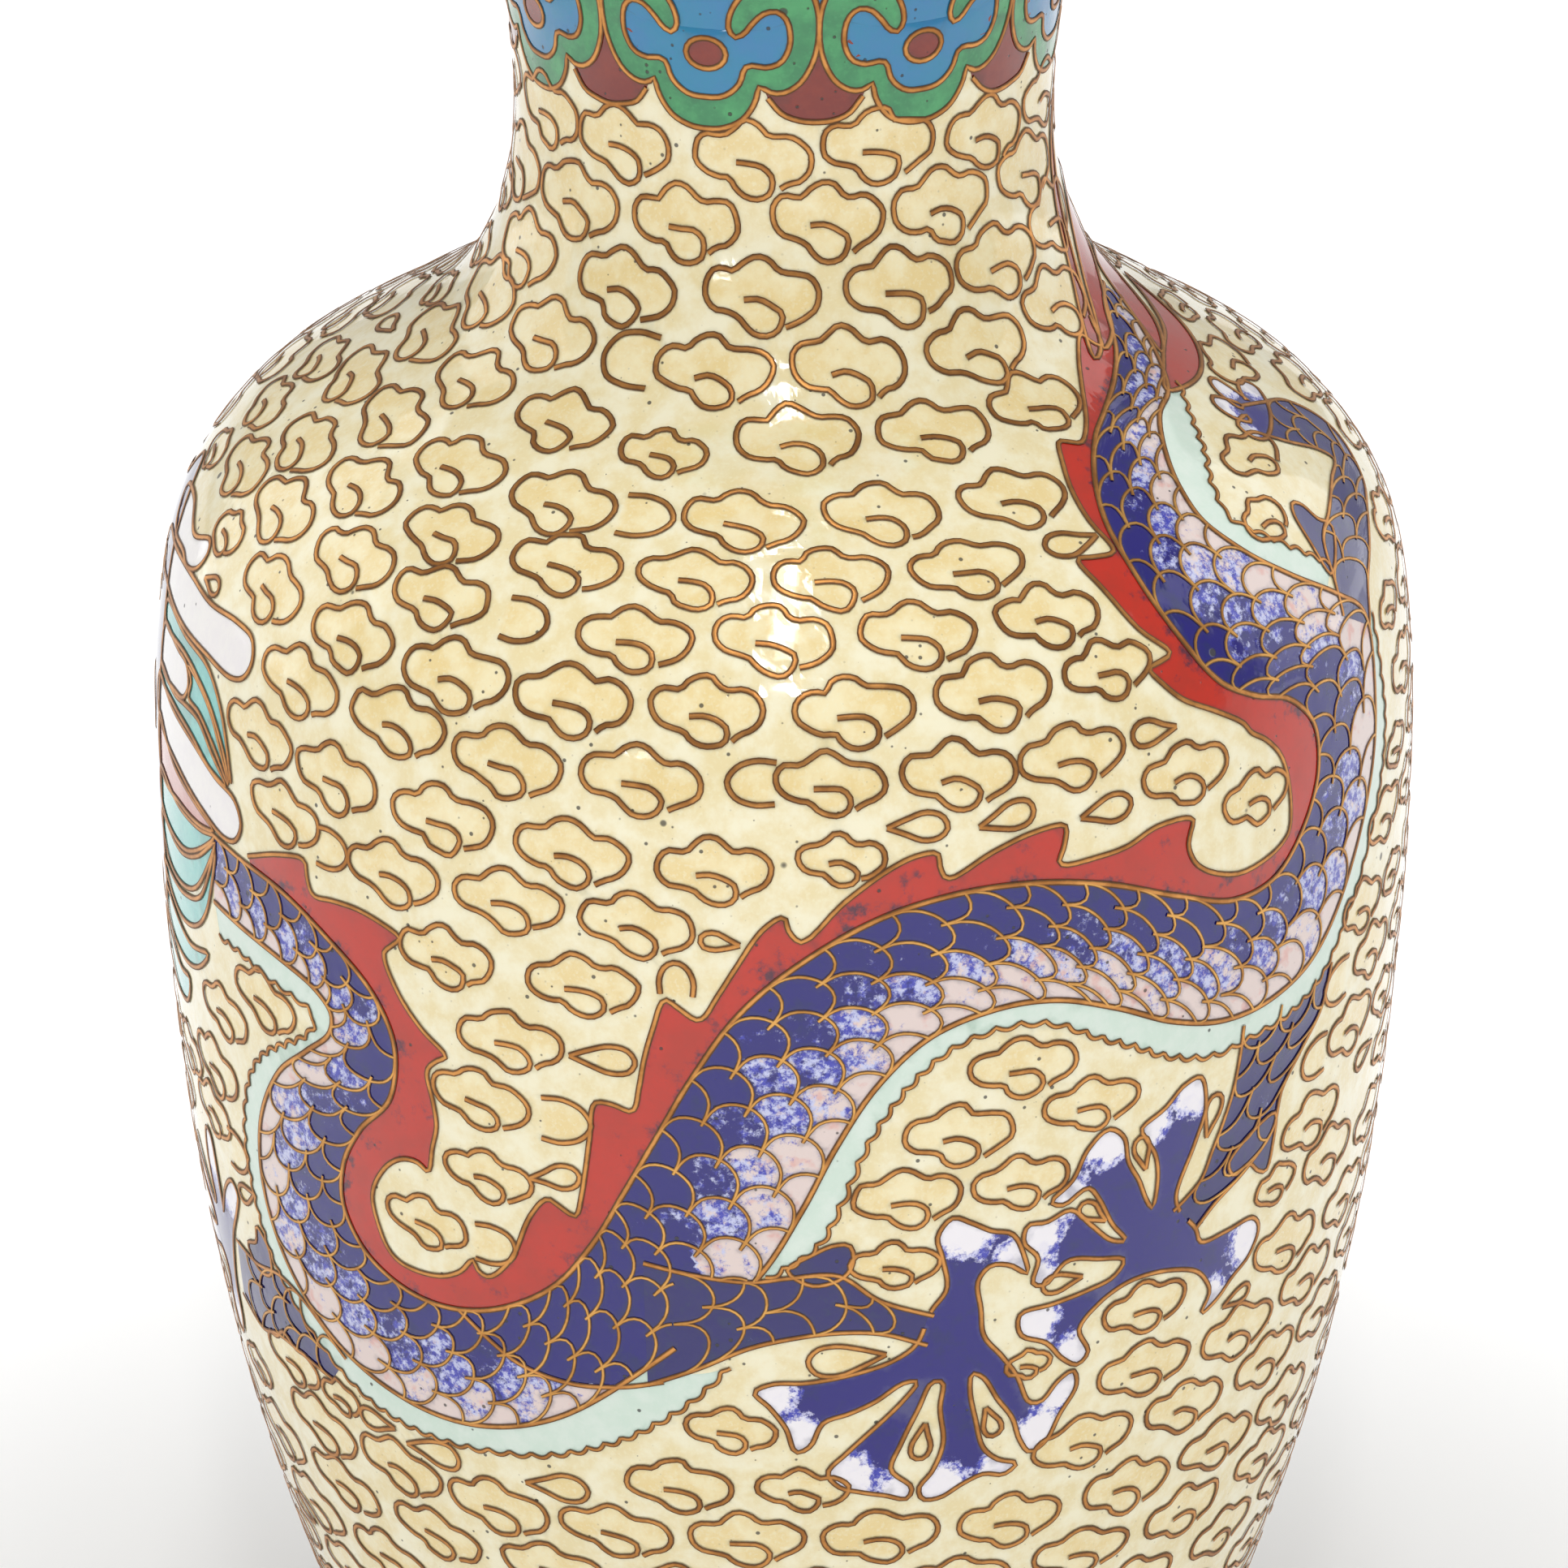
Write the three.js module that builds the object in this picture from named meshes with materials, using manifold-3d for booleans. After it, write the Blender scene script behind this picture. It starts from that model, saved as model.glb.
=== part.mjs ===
// A cloisonne vase: spun copper pieces, coloured enamel set in fields outside, counter-enamel inside,
// and bare brass rings at the mouth and the foot. Millimetres, +Z up, the foot stands on z = 0.
import * as THREE from 'three';
import { mergeVertices } from 'three/addons/utils/BufferGeometryUtils.js';
import Module from 'manifold-3d';

const wasm = await Module();
wasm.setup();

// Driving dimensions
const BODY_RADIUS = 50; // widest, at the shoulder
const GLAZE = 0.9; // enamel outside
const GAP = 0.3; // between neighbouring pieces
const COPPER = 1.0; // copper wall
const LINING = 0.5; // counter-enamel inside
const SIDES = 24; // facets round the vase
const TURN = 0.3; // the most that the outline turns between rings, radians
const STRETCH = 20; // the most that rings stand apart
const FOOT_SEAM = 17; // joints along the outline: foot to body, in copper and in enamel
const BODY_SEAM = 108; // the copper body's two halves
const NECK_SEAM = 172; // copper body to copper neck
const COLLAR = 190.5; // cream ground to blue neck
const RING_HEIGHT = 3.4; // brass ring under the foot
const WALL_START = 4.3; // the wall's layers start clear of that ring
const LIP = 2; // and stop this far short of the outline's end, under the mouth's ring
const BASE_LEVEL = 8.4; // copper base plate, set up inside the foot
const BASE_PLATE = 1.0;
const RIM_BEAD = [1.6, 2.1]; // half-sizes of the mouth's bead, along the wall and across it
const FOOT_BAND = 3.4; // width of the flat band that the vase stands on
const BREAK = 0.5; // broken edge of that band
const BLOCK_DEPTH = 5; // how far the block that cuts a field stands out and in
const FIN = 3.2; // width of the fin along the dragon's back
const FRILL = 2.4; // width of the frill along its belly
const PALM = 2.6; // from the middle of a paw to the web between two toes
const TOE = 0.9; // half the width of a toe
const PEARL_RADIUS = 6.5;
const HEADS = 8; // cloud heads round the collar
const FIRST_HEAD = -16; // degrees from the front

// The outline: radius and height, from the foot to the lip
const OUTLINE = [
  [31.0, 0], [30.4, 5], [28.4, 12], [29.6, 20], [35.3, 32], [43.2, 56], [47.8, 80], [49.8, 104],
  [BODY_RADIUS, 114], [49.6, 125], [47.6, 135], [42.6, 142], [33.4, 148], [25.8, 153],
  [22.6, 158.5], [21.0, 166], [21.6, 177], [24.0, 188], [28.5, 196.5], [31.0, 199.6],
];

const curve = new THREE.CatmullRomCurve3(OUTLINE.map(([r, z]) => new THREE.Vector3(r, 0, z)));
curve.arcLengthDivisions = 1200;
const LENGTH = curve.getLength();

const materials = {
  brass: { color: 0xb98a4a, roughness: 0.32, metalness: 1 },
  copper: { color: 0xb0714a, roughness: 0.4, metalness: 1 },
  cream: { color: 0xefe0b4, roughness: 0.15, metalness: 0 },
  blue: { color: 0x3f8fc0, roughness: 0.15, metalness: 0 },
  cobalt: { color: 0x362a8e, roughness: 0.15, metalness: 0 },
  red: { color: 0xb6412f, roughness: 0.15, metalness: 0 },
  green: { color: 0x55aa74, roughness: 0.15, metalness: 0 },
  pale: { color: 0xcfe0d2, roughness: 0.15, metalness: 0 },
  white: { color: 0xf0ece6, roughness: 0.15, metalness: 0 },
  lining: { color: 0x57b0b8, roughness: 0.2, metalness: 0 },
};

const vase = new THREE.Group();

function add(name, geometry, material) {
  const mesh = new THREE.Mesh(geometry, new THREE.MeshStandardMaterial(materials[material]));
  mesh.name = name;
  vase.add(mesh);
}

// A point of the outline at a length along it, moved inwards by a depth square to the wall
function wall(along, depth) {
  const u = THREE.MathUtils.clamp(along / LENGTH, 0, 1);
  const point = curve.getPointAt(u);
  const tangent = curve.getTangentAt(u);
  return new THREE.Vector2(point.x - tangent.z * depth, point.z + tangent.x * depth);
}

// The same point at an angle round the vase, with 0 degrees at the front
function surface(angle, along, depth) {
  const point = wall(along, depth);
  const turn = THREE.MathUtils.degToRad(angle);
  return new THREE.Vector3(point.x * Math.sin(turn), -point.x * Math.cos(turn), point.y);
}

// Lengths along the outline where every layer of the wall has a ring
function findRings() {
  const seams = [FOOT_SEAM, BODY_SEAM, NECK_SEAM, COLLAR];
  const found = [0];
  const step = 0.5;
  let last = curve.getTangentAt(0);
  for (let along = step; along < LENGTH; along += step) {
    const tangent = curve.getTangentAt(along / LENGTH);
    const turned = tangent.angleTo(last) > TURN;
    if (turned || seams.includes(along) || along - found.at(-1) > STRETCH) {
      found.push(along);
      last = tangent;
    }
  }
  return found;
}

const RINGS = findRings();

// The rings of a wall from one length to another, its two ends among them
function stations(from, to) {
  const margin = 0.4;
  const between = RINGS.filter((along) => along > from + margin && along < to - margin);
  return [from, ...between, to];
}

// A body of revolution from a closed outline of (radius, height) points
function lathe(points) {
  const loop = points[0].x === 0 && points.at(-1).x === 0 ? points : [...points, points[0]];
  const geometry = new THREE.LatheGeometry(loop, SIDES);
  geometry.rotateX(Math.PI / 2);
  return geometry;
}

// A wall between two lengths along the outline and between two depths
function shell(from, to, outer, inner) {
  const rings = stations(from, to);
  const outside = rings.map((along) => wall(along, outer));
  const inside = rings.map((along) => wall(along, inner)).reverse();
  return lathe([...outside, ...inside]);
}

function solid(geometry) {
  const bare = geometry.clone();
  bare.deleteAttribute('normal');
  bare.deleteAttribute('uv');
  const merged = mergeVertices(bare, 1e-4);
  const mesh = new wasm.Mesh({
    numProp: 3,
    vertProperties: new Float32Array(merged.attributes.position.array),
    triVerts: new Uint32Array(merged.index.array),
  });
  return new wasm.Manifold(mesh);
}

function toGeometry(manifold) {
  const mesh = manifold.getMesh();
  const geometry = new THREE.BufferGeometry();
  geometry.setAttribute('position', new THREE.BufferAttribute(mesh.vertProperties, 3));
  geometry.setIndex(new THREE.BufferAttribute(mesh.triVerts, 1));
  geometry.computeVertexNormals();
  return geometry;
}

// The way from one corner to another on the wall, in millimetres round and up it
function way(from, to) {
  const radius = wall((from[1] + to[1]) / 2, 0).x;
  return new THREE.Vector2(THREE.MathUtils.degToRad(to[0] - from[0]) * radius, to[1] - from[1]);
}

// The corner that lies a distance round and up the wall from another
function shifted([angle, along], round, up) {
  const radius = wall(along + up / 2, 0).x;
  return [angle + THREE.MathUtils.radToDeg(round / radius), along + up];
}

// Moves each corner of a loop outwards by a distance in millimetres on the wall
function grow(loop, distance) {
  return loop.map((corner, i) => {
    const before = way(loop.at(i - 1), corner).normalize();
    const after = way(corner, loop[(i + 1) % loop.length]).normalize();
    const out = new THREE.Vector2(before.y + after.y, -before.x - after.x);
    const reach = (2 * distance) / Math.max(out.lengthSq(), 1);
    return shifted(corner, out.x * reach, out.y * reach);
  });
}

// A block that stands through the glaze, over a loop of (angle, length along the outline) corners
function block(loop) {
  const flat = loop.map(([angle, along]) => new THREE.Vector2(angle, along));
  const faces = THREE.ShapeUtils.triangulateShape(flat, []);
  const count = loop.length;
  const corners = [
    ...loop.map(([angle, along]) => surface(angle, along, -BLOCK_DEPTH)),
    ...loop.map(([angle, along]) => surface(angle, along, BLOCK_DEPTH)),
  ];
  const index = [];
  faces.forEach(([a, b, c]) => {
    index.push(a, b, c);
    index.push(a + count, c + count, b + count);
  });
  for (let i = 0; i < count; i += 1) {
    const next = (i + 1) % count;
    // Neighbouring fields share edges, so both split a wall the same way
    if (loop[i][1] < loop[next][1]) {
      index.push(i, i + count, next + count);
      index.push(i, next + count, next);
    } else {
      index.push(i, i + count, next);
      index.push(next, i + count, next + count);
    }
  }
  const geometry = new THREE.BufferGeometry().setFromPoints(corners);
  geometry.setIndex(index);
  return solid(geometry);
}

const glaze = solid(shell(WALL_START, LENGTH - LIP, 0, GLAZE));
let taken = null;

// Sets one enamel field in the glaze, clear of every field that is set already
function inlay(name, loop, material) {
  const ordered = THREE.ShapeUtils.isClockWise(loop.map(([x, y]) => new THREE.Vector2(x, y)))
    ? [...loop].reverse()
    : loop;
  let piece = glaze.intersect(block(grow(ordered, -GAP / 2)));
  if (taken) {
    piece = piece.subtract(taken);
  }
  const pocket = block(grow(ordered, GAP / 2));
  taken = taken ? taken.add(pocket) : pocket;
  add(name, toGeometry(piece), material);
}

// The dragon's body: the corner on the spine and the corner on the belly, from the neck to the tail
const DRAGON = [
  [[-66, 119.8], [-66, 114.5]], [[-49, 118.8], [-49, 113]], [[-41, 115.7], [-44.6, 111]],
  [[-36.5, 110], [-45, 109]], [[-38, 104], [-49, 105]], [[-43.5, 98], [-55, 99]],
  [[-43, 92], [-56.5, 90]], [[-37, 88.3], [-48.5, 80.5]], [[-28, 88.8], [-34, 77.3]],
  [[-20, 93], [-21, 80]], [[-13, 103], [-2.5, 94.5]], [[-8, 111.5], [3, 103.5]],
  [[-1, 119.4], [8, 111]], [[9, 124.9], [17, 116.2]], [[20, 126.2], [27, 115.7]],
  [[32, 123.8], [38, 111.3]], [[43, 120.1], [48.5, 110.5]], [[50, 121.6], [58, 114]],
  [[54.8, 128.5], [66, 127]], [[51.5, 134.2], [65, 137.5]], [[41, 139.5], [55, 144.5]],
  [[38, 147], [50.3, 149.8]], [[38.6, 152.5], [54, 155.4]], [[46, 159.5], [63, 160]],
  [[62, 164], [72, 162.3]], [[85, 169], [85.5, 168]],
];

// A strip from the lines on its two sides
function strip(left, right) {
  return [...right, ...[...left].reverse()];
}

// A line that runs beside another at a distance in millimetres, to its left as it goes
function beside(line, distance) {
  return line.map((corner, i) => {
    const from = line[Math.max(i - 1, 0)];
    const run = way(from, line[Math.min(i + 1, line.length - 1)]).normalize();
    return shifted(corner, -run.y * distance, run.x * distance);
  });
}

function setDragonBody() {
  const spine = DRAGON.map(([side]) => side);
  const belly = DRAGON.map(([, side]) => side);
  inlay('dragon_body', strip(spine, belly), 'cobalt');
  const fin = spine.slice(0, -1);
  inlay('dragon_fin', strip(beside(fin, FIN), fin), 'red');
  // The frill stops where a leg leaves the body
  const frills = { front: [0, 10], middle: [10, 20], rear: [20, 24] };
  Object.entries(frills).forEach(([name, [from, to]]) => {
    const edge = belly.slice(from, to);
    inlay(`dragon_${name}_frill`, strip(edge, beside(edge, -FRILL)), 'pale');
  });
}

// Each leg from its thigh to its wrist, with half its width in millimetres at both ends
const LEGS = {
  front_left: { path: [[-47, 77], [-58, 78.5], [-70, 76]], width: [3.2, 1.6] },
  front_right: { path: [[-7, 91], [0, 92.5], [14, 88]], width: [4.2, 1.8] },
  rear_left: { path: [[50, 110], [45, 100], [37.5, 93.5]], width: [4.2, 1.6] },
  rear_right: { path: [[64, 138], [72, 144.5], [84, 147]], width: [4, 2] },
};

// Each paw from its palm to the tips of its five toes
const PAWS = {
  front_left: { palm: [-74, 78], toes: [[-65, 88], [-74, 90], [-84, 84], [-84, 75], [-76, 69]] },
  front_right: { palm: [15, 87], toes: [[0.5, 84.5], [5, 76], [15.5, 74], [25.5, 78], [16.5, 98]] },
  rear_left: { palm: [35, 92], toes: [[22.5, 96], [24, 87.5], [47.5, 90.5], [37, 105], [28, 102.5]] },
  rear_right: { palm: [88, 148], toes: [[78, 154], [86, 159], [95, 156], [99, 148], [94, 140]] },
};

function setLegs() {
  Object.entries(LEGS).forEach(([name, { path, width }]) => {
    const half = (sign) => path.map((point, i) => {
      const size = THREE.MathUtils.lerp(width[0], width[1], i / (path.length - 1));
      return beside(path, sign * size)[i];
    });
    inlay(`dragon_${name}_leg`, strip(half(1), half(-1)), 'cobalt');
  });
}

// A palm with five toes
function pawLoop({ palm, toes }) {
  const reaches = toes.map((toe) => way(palm, toe)).sort((a, b) => a.angle() - b.angle());
  return reaches.flatMap((reach, i) => {
    const out = reach.clone().normalize();
    const next = reaches[(i + 1) % reaches.length].clone().normalize();
    const between = out.clone().add(next).setLength(PALM);
    return [
      shifted(palm, reach.x + out.y * TOE, reach.y - out.x * TOE),
      shifted(palm, reach.x - out.y * TOE, reach.y + out.x * TOE),
      shifted(palm, between.x, between.y),
    ];
  });
}

function setPaws() {
  Object.entries(PAWS).forEach(([name, paw]) => {
    inlay(`dragon_${name}_paw`, pawLoop(paw), 'cobalt');
  });
}

// The head looks back over the left side of the vase
function setHead() {
  inlay('dragon_upper_horn', [[-57, 135], [-57, 138], [-76, 138.6], [-76, 134.4]], 'white');
  inlay('dragon_lower_horn', [[-57, 121.5], [-57, 125], [-76, 126.2], [-76, 122]], 'white');
  inlay('dragon_mane', [
    [-77, 127.2], [-60, 125.8], [-58.5, 129], [-63, 133.8], [-77, 133.6],
  ], 'green');
  inlay('dragon_head', [
    [-77, 108], [-77, 140], [-86, 144], [-96, 139], [-106, 136], [-115, 137], [-117, 131],
    [-108, 127], [-102, 125], [-108, 119], [-113, 115], [-110, 111], [-98, 112], [-88, 108],
  ], 'cobalt');
  inlay('dragon_beard', [
    [-68, 113.4], [-68, 119.8], [-76.3, 119.8], [-76.3, 105], [-70, 103],
  ], 'green');
}

// Points round an oval of half-sizes in millimetres, between two angles from straight down
function arc(middle, [wide, high], from, to, steps) {
  return Array.from({ length: steps + 1 }, (_, i) => {
    const turn = THREE.MathUtils.degToRad(THREE.MathUtils.lerp(from, to, i / steps));
    return shifted(middle, wide * Math.sin(turn), -high * Math.cos(turn));
  });
}

function setTailAndPearl() {
  inlay('dragon_tail_flame', [
    [70, 160.4], [82, 160.6], [94, 164], [104, 169], [96, 170], [106, 176], [92, 175], [90, 179],
    [80, 173], [68, 168.5], [60, 165.4], [60, 162],
  ], 'red');
  inlay('flaming_pearl', arc([-142, 124], [PEARL_RADIUS, PEARL_RADIUS], 0, 330, 11), 'white');
}

// The cloud collar: green heads open at the top, a red spot in each, red petals between them
function setCollar() {
  for (let i = 0; i < HEADS; i += 1) {
    const middle = FIRST_HEAD + (i * 360) / HEADS;
    const outer = arc([middle, 196.5], [8.6, 8.6], -138, 138, 7);
    const inner = arc([middle, 196.8], [6, 6], -132, 132, 5);
    inlay(`collar_head_${i + 1}`, strip(inner, outer), 'green');
  }
  for (let i = 0; i < HEADS; i += 1) {
    const middle = FIRST_HEAD + ((i + 0.5) * 360) / HEADS;
    const bottom = arc([middle, 191.8], [4.7, 3.2], -90, 90, 4);
    inlay(`collar_petal_${i + 1}`, [...bottom, [middle, 196]], 'red');
  }
  for (let i = 0; i < HEADS; i += 1) {
    const middle = FIRST_HEAD + (i * 360) / HEADS;
    inlay(`collar_spot_${i + 1}`, arc([middle, 194], [1.5, 1.3], 0, 300, 5), 'red');
  }
}

// The grounds round the fields: what is left of the glaze, parted at the foot band and the collar
function setGrounds() {
  const rest = glaze.subtract(taken);
  const clear = 1;
  const cutter = (from, to) => solid(shell(from, to, -clear, GLAZE + clear));
  const part = (from, to) => toGeometry(rest.intersect(cutter(from, to)));
  add('foot_band_enamel', part(0, FOOT_SEAM - GAP / 2), 'blue');
  add('cream_ground_enamel', part(FOOT_SEAM + GAP / 2, COLLAR - GAP / 2), 'cream');
  add('neck_enamel', part(COLLAR + GAP / 2, LENGTH), 'blue');
}

function addCopper() {
  const outer = GLAZE + GAP;
  const inner = outer + COPPER;
  const piece = (name, from, to) => add(name, shell(from, to, outer, inner), 'copper');
  piece('foot_copper', WALL_START, FOOT_SEAM - GAP / 2);
  piece('lower_body_copper', FOOT_SEAM + GAP / 2, BODY_SEAM - GAP / 2);
  piece('upper_body_copper', BODY_SEAM + GAP / 2, NECK_SEAM - GAP / 2);
  piece('neck_copper', NECK_SEAM + GAP / 2, LENGTH - LIP);
  const reach = wall(BASE_LEVEL, inner).x - 2 * GAP;
  add('base_plate', lathe([
    new THREE.Vector2(0, BASE_LEVEL),
    new THREE.Vector2(reach, BASE_LEVEL),
    new THREE.Vector2(reach, BASE_LEVEL + BASE_PLATE),
    new THREE.Vector2(0, BASE_LEVEL + BASE_PLATE),
  ]), 'copper');
}

function addLinings() {
  const outer = GLAZE + GAP + COPPER + GAP;
  const inner = outer + LINING;
  const floor = BASE_LEVEL + BASE_PLATE + GAP;
  const reach = wall(floor, inner).x - 2 * GAP;
  add('floor_lining', lathe([
    new THREE.Vector2(0, floor),
    new THREE.Vector2(reach, floor),
    new THREE.Vector2(reach, floor + LINING),
    new THREE.Vector2(0, floor + LINING),
  ]), 'lining');
  add('body_lining', shell(floor + LINING + 2 * GAP, NECK_SEAM - GAP / 2, outer, inner), 'lining');
  add('neck_lining', shell(NECK_SEAM + GAP / 2, LENGTH - LIP, outer, inner), 'lining');
  const top = BASE_LEVEL - GAP;
  add('underside_enamel', lathe([
    new THREE.Vector2(0, top - LINING),
    new THREE.Vector2(wall(top, inner).x - GAP, top - LINING),
    wall(WALL_START, inner),
    wall(WALL_START, outer),
    new THREE.Vector2(wall(top, outer).x - GAP, top),
    new THREE.Vector2(0, top),
  ]), 'lining');
}

// A bead that closes the lip, and a flat band that the vase stands on
function addRings() {
  const tangent = curve.getTangentAt((LENGTH - LIP) / LENGTH);
  const middle = wall(LENGTH - LIP, (GLAZE + COPPER + LINING + 2 * GAP) / 2);
  const [long, wide] = RIM_BEAD;
  const corners = 8;
  const bead = Array.from({ length: corners }, (_, i) => {
    const turn = (i * 2 * Math.PI) / corners;
    const out = (long + GAP) + long * Math.sin(turn);
    const across = wide * Math.cos(turn);
    return new THREE.Vector2(
      middle.x + tangent.x * out + tangent.z * across,
      middle.y + tangent.z * out - tangent.x * across,
    );
  });
  add('mouth_rim_ring', lathe(bead), 'brass');
  const outside = wall(0, 0).x;
  const inside = outside - FOOT_BAND;
  add('foot_rim_ring', lathe([
    new THREE.Vector2(inside + BREAK, 0),
    new THREE.Vector2(outside - BREAK, 0),
    new THREE.Vector2(outside, BREAK),
    new THREE.Vector2(outside, RING_HEIGHT),
    new THREE.Vector2(inside, RING_HEIGHT),
    new THREE.Vector2(inside, BREAK),
  ]), 'brass');
}

setDragonBody();
setLegs();
setPaws();
setHead();
setTailAndPearl();
setCollar();
setGrounds();
addCopper();
addLinings();
addRings();

export default vase;
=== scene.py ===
"""A cloisonne vase: a spun copper body dressed with enamel fields between copper wires.

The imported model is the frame. Every enamel field and wire is drawn flat, as (degrees round the vase,
millimetres along its outline), and then laid on the wall.
"""
import logging
import math
import random
from dataclasses import dataclass, field
from enum import Enum

import bpy
import numpy as np
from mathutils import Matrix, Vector, geometry, kdtree


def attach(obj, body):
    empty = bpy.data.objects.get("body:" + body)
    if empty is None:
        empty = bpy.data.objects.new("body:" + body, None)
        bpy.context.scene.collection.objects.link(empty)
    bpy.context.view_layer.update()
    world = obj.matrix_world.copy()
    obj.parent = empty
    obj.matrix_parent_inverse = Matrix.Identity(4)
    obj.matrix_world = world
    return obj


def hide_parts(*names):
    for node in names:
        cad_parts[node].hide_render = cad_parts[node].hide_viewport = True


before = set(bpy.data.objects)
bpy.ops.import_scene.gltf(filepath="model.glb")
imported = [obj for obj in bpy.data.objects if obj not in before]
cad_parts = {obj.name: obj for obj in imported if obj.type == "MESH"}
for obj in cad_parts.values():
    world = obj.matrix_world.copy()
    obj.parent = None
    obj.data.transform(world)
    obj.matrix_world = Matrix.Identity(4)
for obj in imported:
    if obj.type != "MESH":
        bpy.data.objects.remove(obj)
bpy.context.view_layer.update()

MM = 0.001
LOG = logging.getLogger("vase")


class Level(Enum):
    """How deep below the outline each layer of the wall's face lies, in millimetres."""

    GROUND = 0.36
    FIELD = 0.325
    INSET = 0.30
    WIRE_EDGE = 0.27
    WIRE_TOP = 0.20


def linear(red: float, green: float, blue: float) -> tuple[float, float, float, float]:
    """Turns a colour in 0-255 display values into the linear one that a shader takes.

    Args:
        red, green, blue: The display values.
    Returns:
        The linear colour with an alpha of 1.
    """
    def one(value: float) -> float:
        """Returns one channel, linear."""
        v = value / 255
        return v / 12.92 if v <= 0.04045 else ((v + 0.055) / 1.055) ** 2.4
    return (one(red), one(green), one(blue), 1.0)


# ---------------------------------------------------------------- shader kit


class Socket:
    """An output of a material's node, with arithmetic that adds Math nodes."""

    def __init__(self, kit: "Shader", out: bpy.types.NodeSocket) -> None:
        self.kit = kit
        self.out = out

    def _with(self, operation: str, *values: "Socket | float") -> "Socket":
        """Adds one Math node and returns its result."""
        return self.kit.node("ShaderNodeMath", {"operation": operation}, list(values))

    def __add__(self, other: "Socket | float") -> "Socket":
        """Returns the sum."""
        return self._with("ADD", self, other)

    def __radd__(self, other: float) -> "Socket":
        """Returns the sum."""
        return self._with("ADD", other, self)

    def __sub__(self, other: "Socket | float") -> "Socket":
        """Returns the difference."""
        return self._with("SUBTRACT", self, other)

    def __rsub__(self, other: float) -> "Socket":
        """Returns the difference, the other way round."""
        return self._with("SUBTRACT", other, self)

    def __mul__(self, other: "Socket | float") -> "Socket":
        """Returns the product."""
        return self._with("MULTIPLY", self, other)

    def __rmul__(self, other: float) -> "Socket":
        """Returns the product."""
        return self._with("MULTIPLY", other, self)

    def ramp(self, low: float, high: float) -> "Socket":
        """Rises smoothly from 0 to 1 between two values, or falls if the first is the higher.

        Args:
            low: The value where the result is 0.
            high: The value where the result is 1.
        Returns:
            The smooth step.
        """
        settings = {"interpolation_type": "SMOOTHSTEP"}
        if low < high:
            return self.kit.node("ShaderNodeMapRange", settings, [self, low, high, 0.0, 1.0])
        return self.kit.node("ShaderNodeMapRange", settings, [self, high, low, 1.0, 0.0])


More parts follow.
